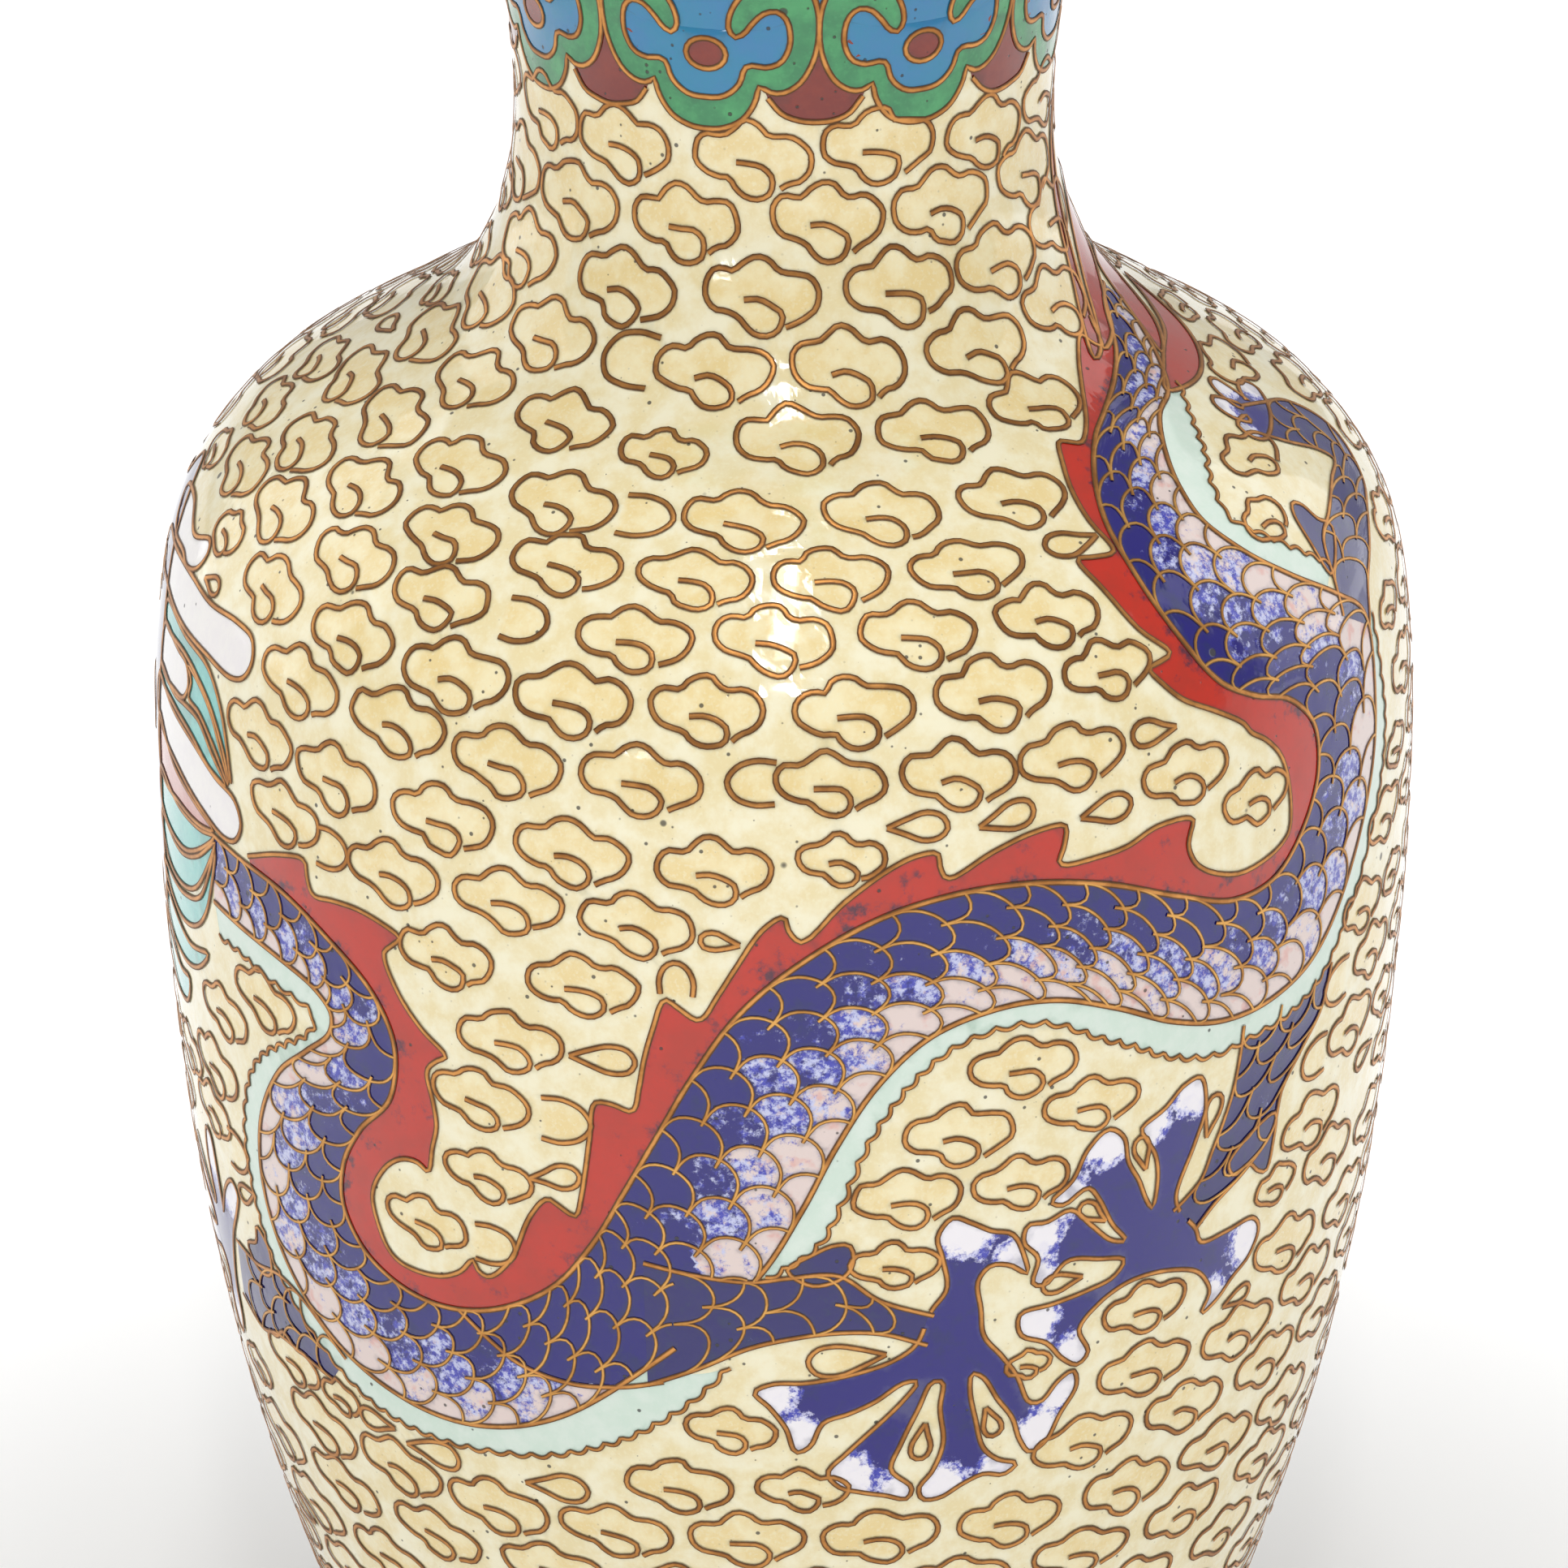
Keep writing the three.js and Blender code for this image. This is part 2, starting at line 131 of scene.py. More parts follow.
class Shader:
    """Builds one material on the Principled shader."""

    def __init__(self, name: str) -> None:
        """Makes an empty node material of that name."""
        self.material = bpy.data.materials.new(name)
        self.material.use_nodes = True
        self.tree = self.material.node_tree
        self.surface = self.tree.nodes["Principled BSDF"]
        coords = self.tree.nodes.new("ShaderNodeTexCoord")
        self.place = Socket(self, coords.outputs["Object"])

    def node(self, kind: str, settings: dict, values: "list | dict", result: int | str = 0) -> Socket:
        """Adds a node.

        Args:
            kind: The node's type.
            settings: Its own settings, set first.
            values: Numbers, colours or sockets for its inputs, by place or by name.
            result: Which output is wanted.
        Returns:
            That output.
        """
        made = self.tree.nodes.new(kind)
        for key, value in settings.items():
            setattr(made, key, value)
        pairs = values.items() if isinstance(values, dict) else enumerate(values)
        for key, value in pairs:
            self.feed(made.inputs[key], value)
        return Socket(self, made.outputs[result])

    def feed(self, entry: bpy.types.NodeSocket, value: "Socket | float | tuple") -> None:
        """Links a socket to an input, or sets the input's own value."""
        if isinstance(value, Socket):
            self.tree.links.new(value.out, entry)
        else:
            entry.default_value = value

    def mix(self, amount: "Socket | float", a: "Socket | tuple", b: "Socket | tuple") -> Socket:
        """Mixes two colours.

        Args:
            amount: 0 gives the first and 1 the second.
            a, b: The colours.
        Returns:
            The mixed colour.
        """
        values = {0: amount, 6: a, 7: b}
        return self.node("ShaderNodeMix", {"data_type": "RGBA"}, values, 2)

    def noise(self, size: float, detail: float = 2.0, rough: float = 0.5) -> Socket:
        """Gives soft noise in space.

        Args:
            size: The size of its blotches, in millimetres.
            detail, rough: How fine and how harsh it is.
        Returns:
            A value about 0.5.
        """
        values = {"Vector": self.place, "Scale": 1 / (size * MM), "Detail": detail, "Roughness": rough}
        return self.node("ShaderNodeTexNoise", {}, values, "Fac")

    def specks(self, spacing: float, radius: float, share: float) -> Socket:
        """Gives sparse round specks in space.

        Args:
            spacing: About how far the possible specks stand apart, in millimetres.
            radius: The largest speck's radius, in millimetres.
            share: The share of the possible specks that show.
        Returns:
            1 on a speck and 0 off it.
        """
        values = {"Vector": self.place, "Scale": 1 / (spacing * MM)}
        settings = {"feature": "F1"}
        far = self.node("ShaderNodeTexVoronoi", settings, values, "Distance")
        lot = self.node("ShaderNodeTexVoronoi", settings, values, "Color")
        pick = self.node("ShaderNodeSeparateColor", {}, [lot], 0).ramp(1 - share, 1.0)
        edge = radius / spacing
        return (far - pick * edge).ramp(0.0, -0.35 * edge)

    def attribute(self, name: str) -> Socket:
        """Reads a number that the mesh carries at its points."""
        return self.node("ShaderNodeAttribute", {"attribute_name": name}, [], "Fac")

    def finish(self, colour: Socket, rough: "Socket | float", height: "Socket | None" = None,
               relief: float = 0.1, metallic: "Socket | float" = 0.0,
               coat: float = 0.0) -> bpy.types.Material:
        """Feeds the Principled shader.

        Args:
            colour: The base colour.
            rough: The roughness.
            height: What the bump follows, if there is one.
            relief: The bump's distance, in millimetres.
            metallic: The metallic value.
            coat: The clear coat's weight.
        Returns:
            The material.
        """
        self.feed(self.surface.inputs["Base Color"], colour)
        self.feed(self.surface.inputs["Roughness"], rough)
        self.feed(self.surface.inputs["Metallic"], metallic)
        self.surface.inputs["Coat Weight"].default_value = coat
        self.surface.inputs["Coat Roughness"].default_value = 0.04
        if height is not None:
            values = {"Height": height, "Strength": 1.0, "Distance": relief * MM}
            bump = self.node("ShaderNodeBump", {}, values)
            self.feed(self.surface.inputs["Normal"], bump)
        return self.material


# ---------------------------------------------------------------- finishes


@dataclass(frozen=True)
class Enamel:
    """A fired enamel: a glossy glass with mottling, pin-holes and, beside its wires, a tinge that is partly
    copper stain and partly painted shade.
    """

    name: str
    base: tuple[int, int, int]
    mottle: tuple[int, int, int]
    # The rim colour beside the wires: partly copper stain, partly painted shade
    rim: tuple[int, int, int]
    blotch: float = 2.5
    patch: float = 0.5
    holes: float = 0.12
    smudge: "tuple[int, int, int] | None" = None
    smudged: float = 0.0

    def body(self, s: Shader) -> Socket:
        """Mixes the enamel's colour away from its wires."""
        cloudy = s.noise(self.blotch, 4.0, 0.6).ramp(0.35, 0.7) * self.patch
        colour = s.mix(cloudy, linear(*self.base), linear(*self.mottle))
        grain = s.noise(0.35, 1.0).ramp(0.52, 0.75) * 0.22
        colour = s.mix(grain, colour, linear(*self.mottle))
        if self.smudge:
            spread = s.noise(2.4, 5.0, 0.7) + s.attribute("tone") * 0.2
            colour = s.mix(spread.ramp(0.66 - self.smudged, 0.78) * 0.88, colour, linear(*self.smudge))
        return colour

    def material(self) -> bpy.types.Material:
        """Builds the material.

        Returns:
            The finished material.
        """
        s = Shader(self.name)
        edge = s.attribute("edge")
        colour = self.body(s)
        # Beside the wires the colour turns to the rim colour: partly copper stain, partly painted shade of
        # the halo round each wire
        near = (edge * 1.0 + s.noise(0.7, 2.0) * 0.5).ramp(0.85, 0.15)
        colour = s.mix(near * 0.6, colour, linear(*self.rim))
        hole = s.specks(1.0, 0.2, self.holes) + s.specks(2.9, 0.42, self.holes * 0.3)
        hole = s.node("ShaderNodeClamp", {}, [hole])
        colour = s.mix(hole * 0.85, colour, linear(44, 42, 38))
        dish = edge.ramp(0.0, 0.9) * -0.35
        height = dish + s.noise(7.0, 1.0) * 0.12 + s.noise(1.1, 2.0) * 0.01 - hole * 0.4
        rough = 0.07 + hole * 0.4 + s.noise(3.0, 3.0).ramp(0.45, 0.8) * 0.05
        return s.finish(colour, rough, height, 0.09, coat=0.35)


@dataclass(frozen=True)
class Cream(Enamel):
    """The ground: yellower inside the cloud cells, and paler and greyer outside them."""

    outside: tuple[int, int, int] = (233, 217, 168)
    pale: tuple[int, int, int] = (242, 235, 204)

    def body(self, s: Shader) -> Socket:
        """Mixes the ground's colour inside and outside the cells."""
        inside = s.attribute("cell")
        cloudy = s.noise(2.6, 4.0, 0.6).ramp(0.35, 0.68)
        within = s.mix(cloudy, linear(*self.base), linear(*self.mottle))
        without = s.mix(cloudy, linear(*self.outside), linear(*self.pale))
        colour = s.mix(inside * 0.8, without, within)
        grain = s.noise(0.3, 1.0).ramp(0.5, 0.78) * 0.4
        colour = s.mix(grain, colour, linear(*self.pale))
        sand = s.specks(0.55, 0.11, 0.35) * 0.35
        return s.mix(sand, colour, linear(176, 164, 134))


@dataclass(frozen=True)
class Scale(Enamel):
    """The dragon's skin: cobalt on the back, frosted on the flank, rosy on the belly."""

    frost: tuple[int, int, int] = (196, 200, 232)
    belly: tuple[int, int, int] = (224, 206, 200)
    rose: tuple[int, int, int] = (218, 150, 138)

    def body(self, s: Shader) -> Socket:
        """Mixes the skin's colour from back to belly."""
        tone = s.attribute("tone")
        streaks = s.noise(1.1, 5.0, 0.72)
        shade = tone + (streaks - 0.5) * 1.0
        dark = s.mix(s.noise(2.0, 4.0, 0.6).ramp(0.5, 0.72) * 0.6, linear(*self.base), linear(*self.mottle))
        blush = s.mix(s.noise(1.7, 3.0).ramp(0.55, 0.72) * 0.6, linear(*self.belly), linear(*self.rose))
        mid = s.mix(s.noise(0.7, 4.0, 0.7).ramp(0.42, 0.6), linear(58, 62, 176), linear(*self.frost))
        colour = s.mix(shade.ramp(0.44, 0.58), dark, mid)
        return s.mix(shade.ramp(0.64, 0.8), colour, blush)


@dataclass(frozen=True)
class Metal:
    """A metal with a worn face and, across a wire, dark at both sides: partly darkened copper, partly painted
    shade of the wire's rounded sides.
    """

    name: str
    bright: tuple[int, int, int]
    dull: tuple[int, int, int]
    oxide_and_side_shade: tuple[int, int, int]
    rough: float = 0.3
    wire: bool = False

    def material(self) -> bpy.types.Material:
        """Builds the material.

        Returns:
            The finished material.
        """
        s = Shader(self.name)
        wear = s.noise(3.0, 4.0, 0.6).ramp(0.35, 0.65)
        colour = s.mix(wear, linear(*self.bright), linear(*self.dull))
        tarnish_and_side_shade = s.noise(1.2, 4.0, 0.7).ramp(0.56, 0.75) * 0.5
        # Across a wire both sides darken: partly darkened copper, partly painted shade of its rounded sides
        if self.wire:
            uv = s.node("ShaderNodeUVMap", {}, [])
            across = s.node("ShaderNodeSeparateXYZ", {}, [uv], 0)
            side = s.node("ShaderNodeMath", {"operation": "ABSOLUTE"}, [across * 2.0 - 1.0])
            crimp = s.noise(0.5, 2.0) * 0.35
            tarnish_and_side_shade = (side + crimp).ramp(0.42, 0.95) * 0.85 + tarnish_and_side_shade * 0.3
            tarnish_and_side_shade = s.node("ShaderNodeClamp", {}, [tarnish_and_side_shade])
        colour = s.mix(tarnish_and_side_shade, colour, linear(*self.oxide_and_side_shade))
        metallic = 1.0 - tarnish_and_side_shade * 0.6
        rough = self.rough + tarnish_and_side_shade * 0.25 + s.noise(0.8, 3.0) * 0.08
        height = s.noise(0.5, 3.0) * 0.4
        return s.finish(colour, rough, height, 0.02, metallic, 0.0)


class Finish(Enum):
    """Every finish that the vase wears."""

    CREAM = Cream("cream_glaze", (234, 209, 146), (242, 228, 182), (184, 178, 142), holes=0.34)
    SKIN = Scale("dragon_skin_enamel", (16, 4, 112), (14, 30, 84), (46, 46, 84), holes=0.3)
    LEG = Scale("dragon_leg_enamel", (28, 22, 100), (32, 46, 84), (44, 46, 76), holes=0.3)
    CLAW = Scale("dragon_paw_enamel", (20, 6, 116), (20, 28, 92), (96, 96, 128), holes=0.2,
                 frost=(214, 214, 240), belly=(240, 236, 240), rose=(226, 222, 236))
    FIN = Enamel("red_glaze", (190, 36, 8), (168, 40, 18), (104, 34, 30), 3.0, 0.6, 0.25, (44, 26, 52), 0.05)
    FLAME = Enamel("flame_enamel", (178, 54, 38), (166, 70, 58), (110, 44, 40), 3.0, 0.6, 0.2,
                   (60, 36, 60), 0.0)
    FRILL = Enamel("pale_glaze", (206, 224, 210), (222, 232, 222), (150, 180, 160), 2.2, 0.6, 0.1)
    WHITE = Enamel("white_glaze", (240, 236, 232), (230, 224, 228), (176, 172, 168), 2.5, 0.5, 0.1)
    TEAL = Enamel("teal_glaze", (120, 200, 190), (90, 178, 176), (90, 140, 130), 2.0, 0.6, 0.12)
    ROSE = Enamel("rose_glaze", (196, 128, 120), (214, 160, 150), (150, 100, 90), 2.0, 0.6, 0.12)
    BLUE = Enamel("blue_glaze", (34, 130, 170), (50, 122, 178), (36, 92, 108), 3.0, 0.7, 1.0)
    GREEN = Enamel("green_glaze", (48, 130, 82), (78, 174, 106), (42, 88, 66), 3.0, 0.6, 1.0)
    PETAL = Enamel("petal_enamel", (122, 30, 14), (142, 44, 16), (70, 28, 18), 2.5, 0.6, 0.8)
    LINING = Enamel("lining_glaze", (98, 184, 192), (76, 164, 178), (70, 140, 150), 4.0, 0.7, 0.5)
    WIRE = Metal("wire_copper", (206, 146, 84), (164, 110, 60), (72, 48, 28), 0.34, True)
    FINE_WIRE = Metal("fine_wire_copper", (216, 164, 94), (178, 126, 68), (74, 52, 38), 0.34, True)
    BRASS = Metal("polished_brass", (216, 176, 100), (190, 148, 80), (112, 78, 42), 0.2)
    COPPER = Metal("copper_sheet", (206, 134, 98), (176, 104, 72), (98, 62, 46), 0.3)

    def get(self) -> bpy.types.Material:
        """Returns the material, built at its first use."""
        return bpy.data.materials.get(self.value.name) or self.value.material()


# ---------------------------------------------------------------- the wall


@dataclass
class Wall:
    """The vase's outline and the flat map of its wall.

    A place on the map is (degrees round from the front, millimetres along the outline from the foot).
    """

    points: tuple = (
        (31.0, 0), (30.4, 5), (28.4, 12), (29.6, 20), (35.3, 32), (43.2, 56), (47.8, 80), (49.8, 104),
        (50.0, 114), (49.6, 125), (47.6, 135), (42.6, 142), (33.4, 148), (25.8, 153), (22.6, 158.5),
        (21.0, 166), (21.6, 177), (24.0, 188), (28.5, 196.5), (31.0, 199.6),
    )

    def __post_init__(self) -> None:
        """Works out the outline's fine table of lengths, radii and heights."""
        spots = np.array(self.points, float)
        fine = through(spots, 60)
        self.r, self.z = fine[:, 0], fine[:, 1]
        steps = np.hypot(np.diff(self.r), np.diff(self.z))
        self.s = np.concatenate([[0.0], np.cumsum(steps)])
        self.length = float(self.s[-1])
        self.dr = np.gradient(self.r, self.s)
        self.dz = np.gradient(self.z, self.s)

    def profile(self, along: np.ndarray, depth: float = 0.0) -> tuple[np.ndarray, np.ndarray]:
        """Gives radii and heights of the outline, moved inwards.

        Args:
            along: Lengths along the outline.
            depth: How far inwards, square to the wall.
        Returns:
            The radii and the heights, in millimetres.
        """
        r, z = np.interp(along, self.s, self.r), np.interp(along, self.s, self.z)
        tr, tz = np.interp(along, self.s, self.dr), np.interp(along, self.s, self.dz)
        size = np.hypot(tr, tz)
        return r - depth * tz / size, z + depth * tr / size

    def lay(self, spots: np.ndarray, depth: "float | np.ndarray") -> np.ndarray:
        """Lays places of the map on the wall.

        Args:
            spots: The places, one to a row.
            depth: How deep below the outline, in millimetres.
        Returns:
            The points in space, in metres.
        """
        r, z = self.profile(spots[:, 1], depth)
        turn = np.radians(spots[:, 0])
        return np.stack([r * np.sin(turn), -r * np.cos(turn), z], 1) * MM

    def degree(self, along: "float | np.ndarray") -> "float | np.ndarray":
        """Gives the length of one degree round the wall, in millimetres."""
        return np.radians(1.0) * np.interp(along, self.s, self.r)

    def steps(self, path: np.ndarray, closed: bool = False) -> np.ndarray:
        """Gives the way from each place of a path to the next, in millimetres."""
        after = np.roll(path, -1, 0) if closed else path[1:]
        before = path if closed else path[:-1]
        way = after - before
        middle = (after[:, 1] + before[:, 1]) / 2
        return np.stack([way[:, 0] * self.degree(middle), way[:, 1]], 1)

    def smooth(self, path: "np.ndarray | list", step: float = 0.5, closed: bool = False) -> np.ndarray:
        """Draws a smooth line through places, and divides it evenly.

        Args:
            path: The places.
            step: The length of one division, in millimetres.
            closed: Whether the line ends where it starts.
        Returns:
            The line's places, without a repeat at the end of a closed one.
        """
        spots = np.array(path, float)
        fine = through(np.vstack([spots[-1:], spots, spots[:2]]) if closed else spots, 12)
        if closed:
            fine = fine[12:-12]
        return self.divide(fine, step, closed)

    def divide(self, path: np.ndarray, step: float, closed: bool = False) -> np.ndarray:
        """Divides a line evenly.

        Args:
            path: The line's places.
            step: The length of one division, in millimetres.
            closed: Whether the line ends where it starts.
        Returns:
            The new places.
        """
        sizes = np.linalg.norm(self.steps(path), axis=1)
        run = np.concatenate([[0.0], np.cumsum(sizes)])
        count = max(int(round(run[-1] / step)), 2)
        marks = np.linspace(0, run[-1], count + 1)
        line = np.stack([np.interp(marks, run, path[:, 0]), np.interp(marks, run, path[:, 1])], 1)
        return line[:-1] if closed else line

    def beside(self, path: np.ndarray, distance: "float | np.ndarray", closed: bool = False) -> np.ndarray:
        """Moves a line to its left.

        Args:
            path: The line's places.
            distance: How far, in millimetres, at each place or everywhere.
            closed: Whether the line ends where it starts.
        Returns:
            The moved places.
        """
        way = self.steps(path, closed)
        if closed:
            way = way + np.roll(way, 1, 0)
        else:
            way = np.vstack([way[:1], way[:-1] + way[1:], way[-1:]])
        way = way / np.maximum(np.linalg.norm(way, axis=1, keepdims=True), 1e-6)
        round_ = -way[:, 1] * distance / self.degree(path[:, 1])
        return path + np.stack([round_, way[:, 0] * distance], 1)

    def placed(self, shape: np.ndarray, middle: tuple[float, float], turn: float = 0.0,
               size: tuple[float, float] = (1.0, 1.0)) -> np.ndarray:
        """Puts a shape drawn in millimetres at a place of the map.

        Args:
            shape: The shape's points, about its own middle.
            middle: Where its middle goes.
            turn: How far it turns, in degrees.
            size: How much it is stretched round and along the wall.
        Returns:
            The shape's places.
        """
        a = math.radians(turn)
        flat = shape * np.array(size)
        x = flat[:, 0] * math.cos(a) - flat[:, 1] * math.sin(a)
        y = flat[:, 0] * math.sin(a) + flat[:, 1] * math.cos(a)
        along = middle[1] + y
        return np.stack([middle[0] + x / self.degree(along), along], 1)


def through(spots: np.ndarray, count: int) -> np.ndarray:
    """Draws a centripetal Catmull-Rom line through points.

    Args:
        spots: The points, one to a row.
        count: Divisions between two points.
    Returns:
        The line's points.
    """
    ends = np.vstack([2 * spots[0] - spots[1], spots, 2 * spots[-1] - spots[-2]])
    pieces = []
    for i in range(1, len(ends) - 2):
        p = ends[i - 1:i + 3]
        t = np.concatenate([[0.0], np.cumsum(np.sqrt(np.linalg.norm(np.diff(p, axis=0), axis=1)) + 1e-6)])
        u = np.linspace(t[1], t[2], count, endpoint=False)[:, None]
        a = [((t[k + 1] - u) * p[k] + (u - t[k]) * p[k + 1]) / (t[k + 1] - t[k]) for k in range(3)]
        b = [((t[k + 2] - u) * a[k] + (u - t[k]) * a[k + 1]) / (t[k + 2] - t[k]) for k in range(2)]
        pieces.append(((t[2] - u) * b[0] + (u - t[1]) * b[1]) / (t[2] - t[1]))
    return np.vstack([*pieces, spots[-1:]])


WALL = Wall()


# ---------------------------------------------------------------- sheets and wires


class Sheet:
    """Collects points and faces laid on the wall, and makes one piece of them."""

    def __init__(self) -> None:
        """Starts with nothing."""
        self.points: list[np.ndarray] = []
        self.faces: list[tuple[int, ...]] = []
        self.across: list[np.ndarray] = []
        self.marks: dict[str, list[np.ndarray]] = {}
        self.count = 0

    def add(self, points: np.ndarray, faces: "list | np.ndarray", across: "np.ndarray | None" = None,
            **marks: np.ndarray) -> None:
        """Adds points with their faces.

        Args:
            points: The points in space.
            faces: Each face's corners, counted within these points.
            across: The points' places in the UV map.
            marks: Numbers that the points carry.
        """
        self.points.append(points)
        base = self.count
        self.faces.extend(tuple(int(c) + base for c in face) for face in faces)
        self.across.append(np.zeros((len(points), 2)) if across is None else across)
        for name, values in marks.items():
            self.marks.setdefault(name, []).append(values)
        self.count += len(points)

    def make(self, name: str, finish: Finish, slot: str, *nodes: str) -> bpy.types.Object:
        """Makes the piece.

        Args:
            name: The piece's name.
            finish: What it wears.
            slot: The record's material slot.
            nodes: The frame's nodes that it stands for.
        Returns:
            The new object.
        """
        mesh = bpy.data.meshes.new(name)
        points = np.vstack(self.points)
        mesh.from_pydata(points.tolist(), [], self.faces)
        spots = np.vstack(self.across)
        corner = np.empty(len(mesh.loops), dtype=np.int32)
        mesh.loops.foreach_get("vertex_index", corner)
        mesh.uv_layers.new(name="across").data.foreach_set("uv", spots[corner].astype(np.float32).ravel())
        for key, values in self.marks.items():
            layer = mesh.attributes.new(key, "FLOAT", "POINT")
            layer.data.foreach_set("value", np.concatenate(values).astype(np.float32))
        mesh.shade_smooth()
        piece = bpy.data.objects.new(name, mesh)
        bpy.context.scene.collection.objects.link(piece)
        return dress(piece, finish, slot, *nodes)


def dress(piece: bpy.types.Object, finish: Finish, slot: str, *nodes: str) -> bpy.types.Object:
    """Gives a piece its finish and its place in the frame.

    Args:
        piece: The piece.
        finish: What it wears.
        slot: The record's material slot; not used.
        nodes: The frame's nodes that it stands for.
    Returns:
        The same piece.
    """
    piece.data.materials.clear()
    piece.data.materials.append(finish.get())
    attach(piece, "root")
    if nodes:
        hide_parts(*nodes)
    return piece


class Wires:
    """Every wire of the vase, collected by kit, so that the enamel knows how near a wire is."""

    def __init__(self) -> None:
        """Starts with no wire."""
        self.sheets: dict[str, Sheet] = {}
        self.covers: list[np.ndarray] = []
        self.tracks: list[np.ndarray] = []

    def run(self, kit: str, path: np.ndarray, width: float = 0.5, closed: bool = False,
            top: float = Level.WIRE_TOP.value) -> None:
        """Lays one wire: two faces across, a little proud along the middle.

        Args:
            kit: The piece that it belongs to.
            path: Its places.
            width: Its width, in millimetres.
            closed: Whether it ends where it starts.
            top: How deep its middle lies.
        """
        sides = [WALL.beside(path, width / 2, closed), path, WALL.beside(path, -width / 2, closed)]
        depths = [Level.WIRE_EDGE.value, top, Level.WIRE_EDGE.value]
        count = len(path)
        points = np.vstack([WALL.lay(side, deep) for side, deep in zip(sides, depths)])
        last = count if closed else count - 1
        faces = []
        for i in range(last):
            j = (i + 1) % count
            for row in (0, count):
                faces.append((row + i, row + count + i, row + count + j, row + j))
        across = np.zeros((3 * count, 2))
        across[:, 0] = np.repeat([0.0, 0.5, 1.0], count)
        across[:, 1] = np.tile(np.arange(count) * 0.01, 3)
        self.sheets.setdefault(kit, Sheet()).add(points, faces, across)
        self.tracks.append(points[count:2 * count])

    def run_under(self, kit: str, path: np.ndarray, width: float = 0.5) -> None:
        """Lays a wire only where no limb covers it."""
        seen = np.ones(len(path), bool)
        for loop in self.covers:
            seen &= ~inside(path[:, 0], path[:, 1], loop)
        cuts = np.flatnonzero(np.diff(seen.astype(int))) + 1
        for piece, shown in zip(np.split(path, cuts), np.split(seen, cuts)):
            if shown[0] and len(piece) > 2:
                self.run(kit, piece, width)

    def make(self, finishes: dict[str, Finish], slot: str = "copper") -> None:
        """Makes one piece of every kit.

        Args:
            finishes: What each kit wears, if not the plain wire.
            slot: The record's material slot.
        """
        for kit, sheet in self.sheets.items():
            piece = sheet.make(kit, finishes.get(kit, Finish.WIRE), slot)
            LOG.info("%s: %d faces", piece.name, len(piece.data.polygons))

    def near(self, points: np.ndarray, reach: float = 2.0) -> np.ndarray:
        """Measures how far points are from the nearest wire.

        Args:
            points: Points in space.
            reach: The most that counts, in millimetres.
        Returns:
            The distances in millimetres.
        """
        tree = self.tree()
        return np.array([min(tree.find(p)[2] / MM, reach) for p in points.tolist()])

    def tree(self) -> kdtree.KDTree:
        """Returns the search tree of all the wires' points, built at its first use."""
        if not hasattr(self, "_tree"):
            spots = np.vstack(self.tracks)
            self._tree = kdtree.KDTree(len(spots))
            for i, spot in enumerate(spots.tolist()):
                self._tree.insert(spot, i)
            self._tree.balance()
        return self._tree


WIRES = Wires()


class Canvas:
    """Keeps which parts of the map are taken, on a fine grid."""

    ACROSS = 0.25
    ALONG = 0.25

    def __init__(self) -> None:
        """Starts empty all round."""
        self.wide = int(360 / self.ACROSS)
        self.taken = np.zeros((self.wide, int(220 / self.ALONG)), bool)

    def cells(self, loop: np.ndarray) -> tuple[np.ndarray, np.ndarray]:
        """Finds the grid cells inside a loop.

        Args:
            loop: The loop's places.
        Returns:
            The cells' columns and rows.
        """
        low, high = loop.min(0), loop.max(0)
        x = np.arange(math.floor(low[0] / self.ACROSS), math.ceil(high[0] / self.ACROSS) + 1)
        y = np.arange(math.floor(low[1] / self.ALONG), math.ceil(high[1] / self.ALONG) + 1)
        gx, gy = np.meshgrid(x, y, indexing="ij")
        hit = inside(gx * self.ACROSS, gy * self.ALONG, loop)
        return gx[hit] % self.wide, np.clip(gy[hit], 0, self.taken.shape[1] - 1)

    def take(self, loop: np.ndarray) -> None:
        """Marks the inside of a loop as taken."""
        self.taken[self.cells(loop)] = True

    def take_line(self, path: np.ndarray, width: float) -> None:
        """Marks a band along a line as taken."""
        left, right = WALL.beside(path, width / 2), WALL.beside(path, -width / 2)
        for i in range(len(path) - 1):
            self.take(np.array([left[i], left[i + 1], right[i + 1], right[i]]))

    def share(self, loop: np.ndarray) -> float:
        """Gives the share of a loop's inside that is taken."""
        hit = self.taken[self.cells(loop)]
        return float(hit.mean()) if len(hit) else 0.0


def inside(x: np.ndarray, y: np.ndarray, loop: np.ndarray) -> np.ndarray:
    """Tests which places lie inside a loop.

    Args:
        x, y: The places' coordinates.
        loop: The loop's corners.
    Returns:
        True for each place inside.
    """
    hit = np.zeros(x.shape, bool)
    for (ax, ay), (bx, by) in zip(loop, np.roll(loop, -1, 0)):
        if ay == by:
            continue
        crosses = (ay > y) != (by > y)
        hit ^= crosses & (x < (bx - ax) * (y - ay) / (by - ay) + ax)
    return hit


CANVAS = Canvas()


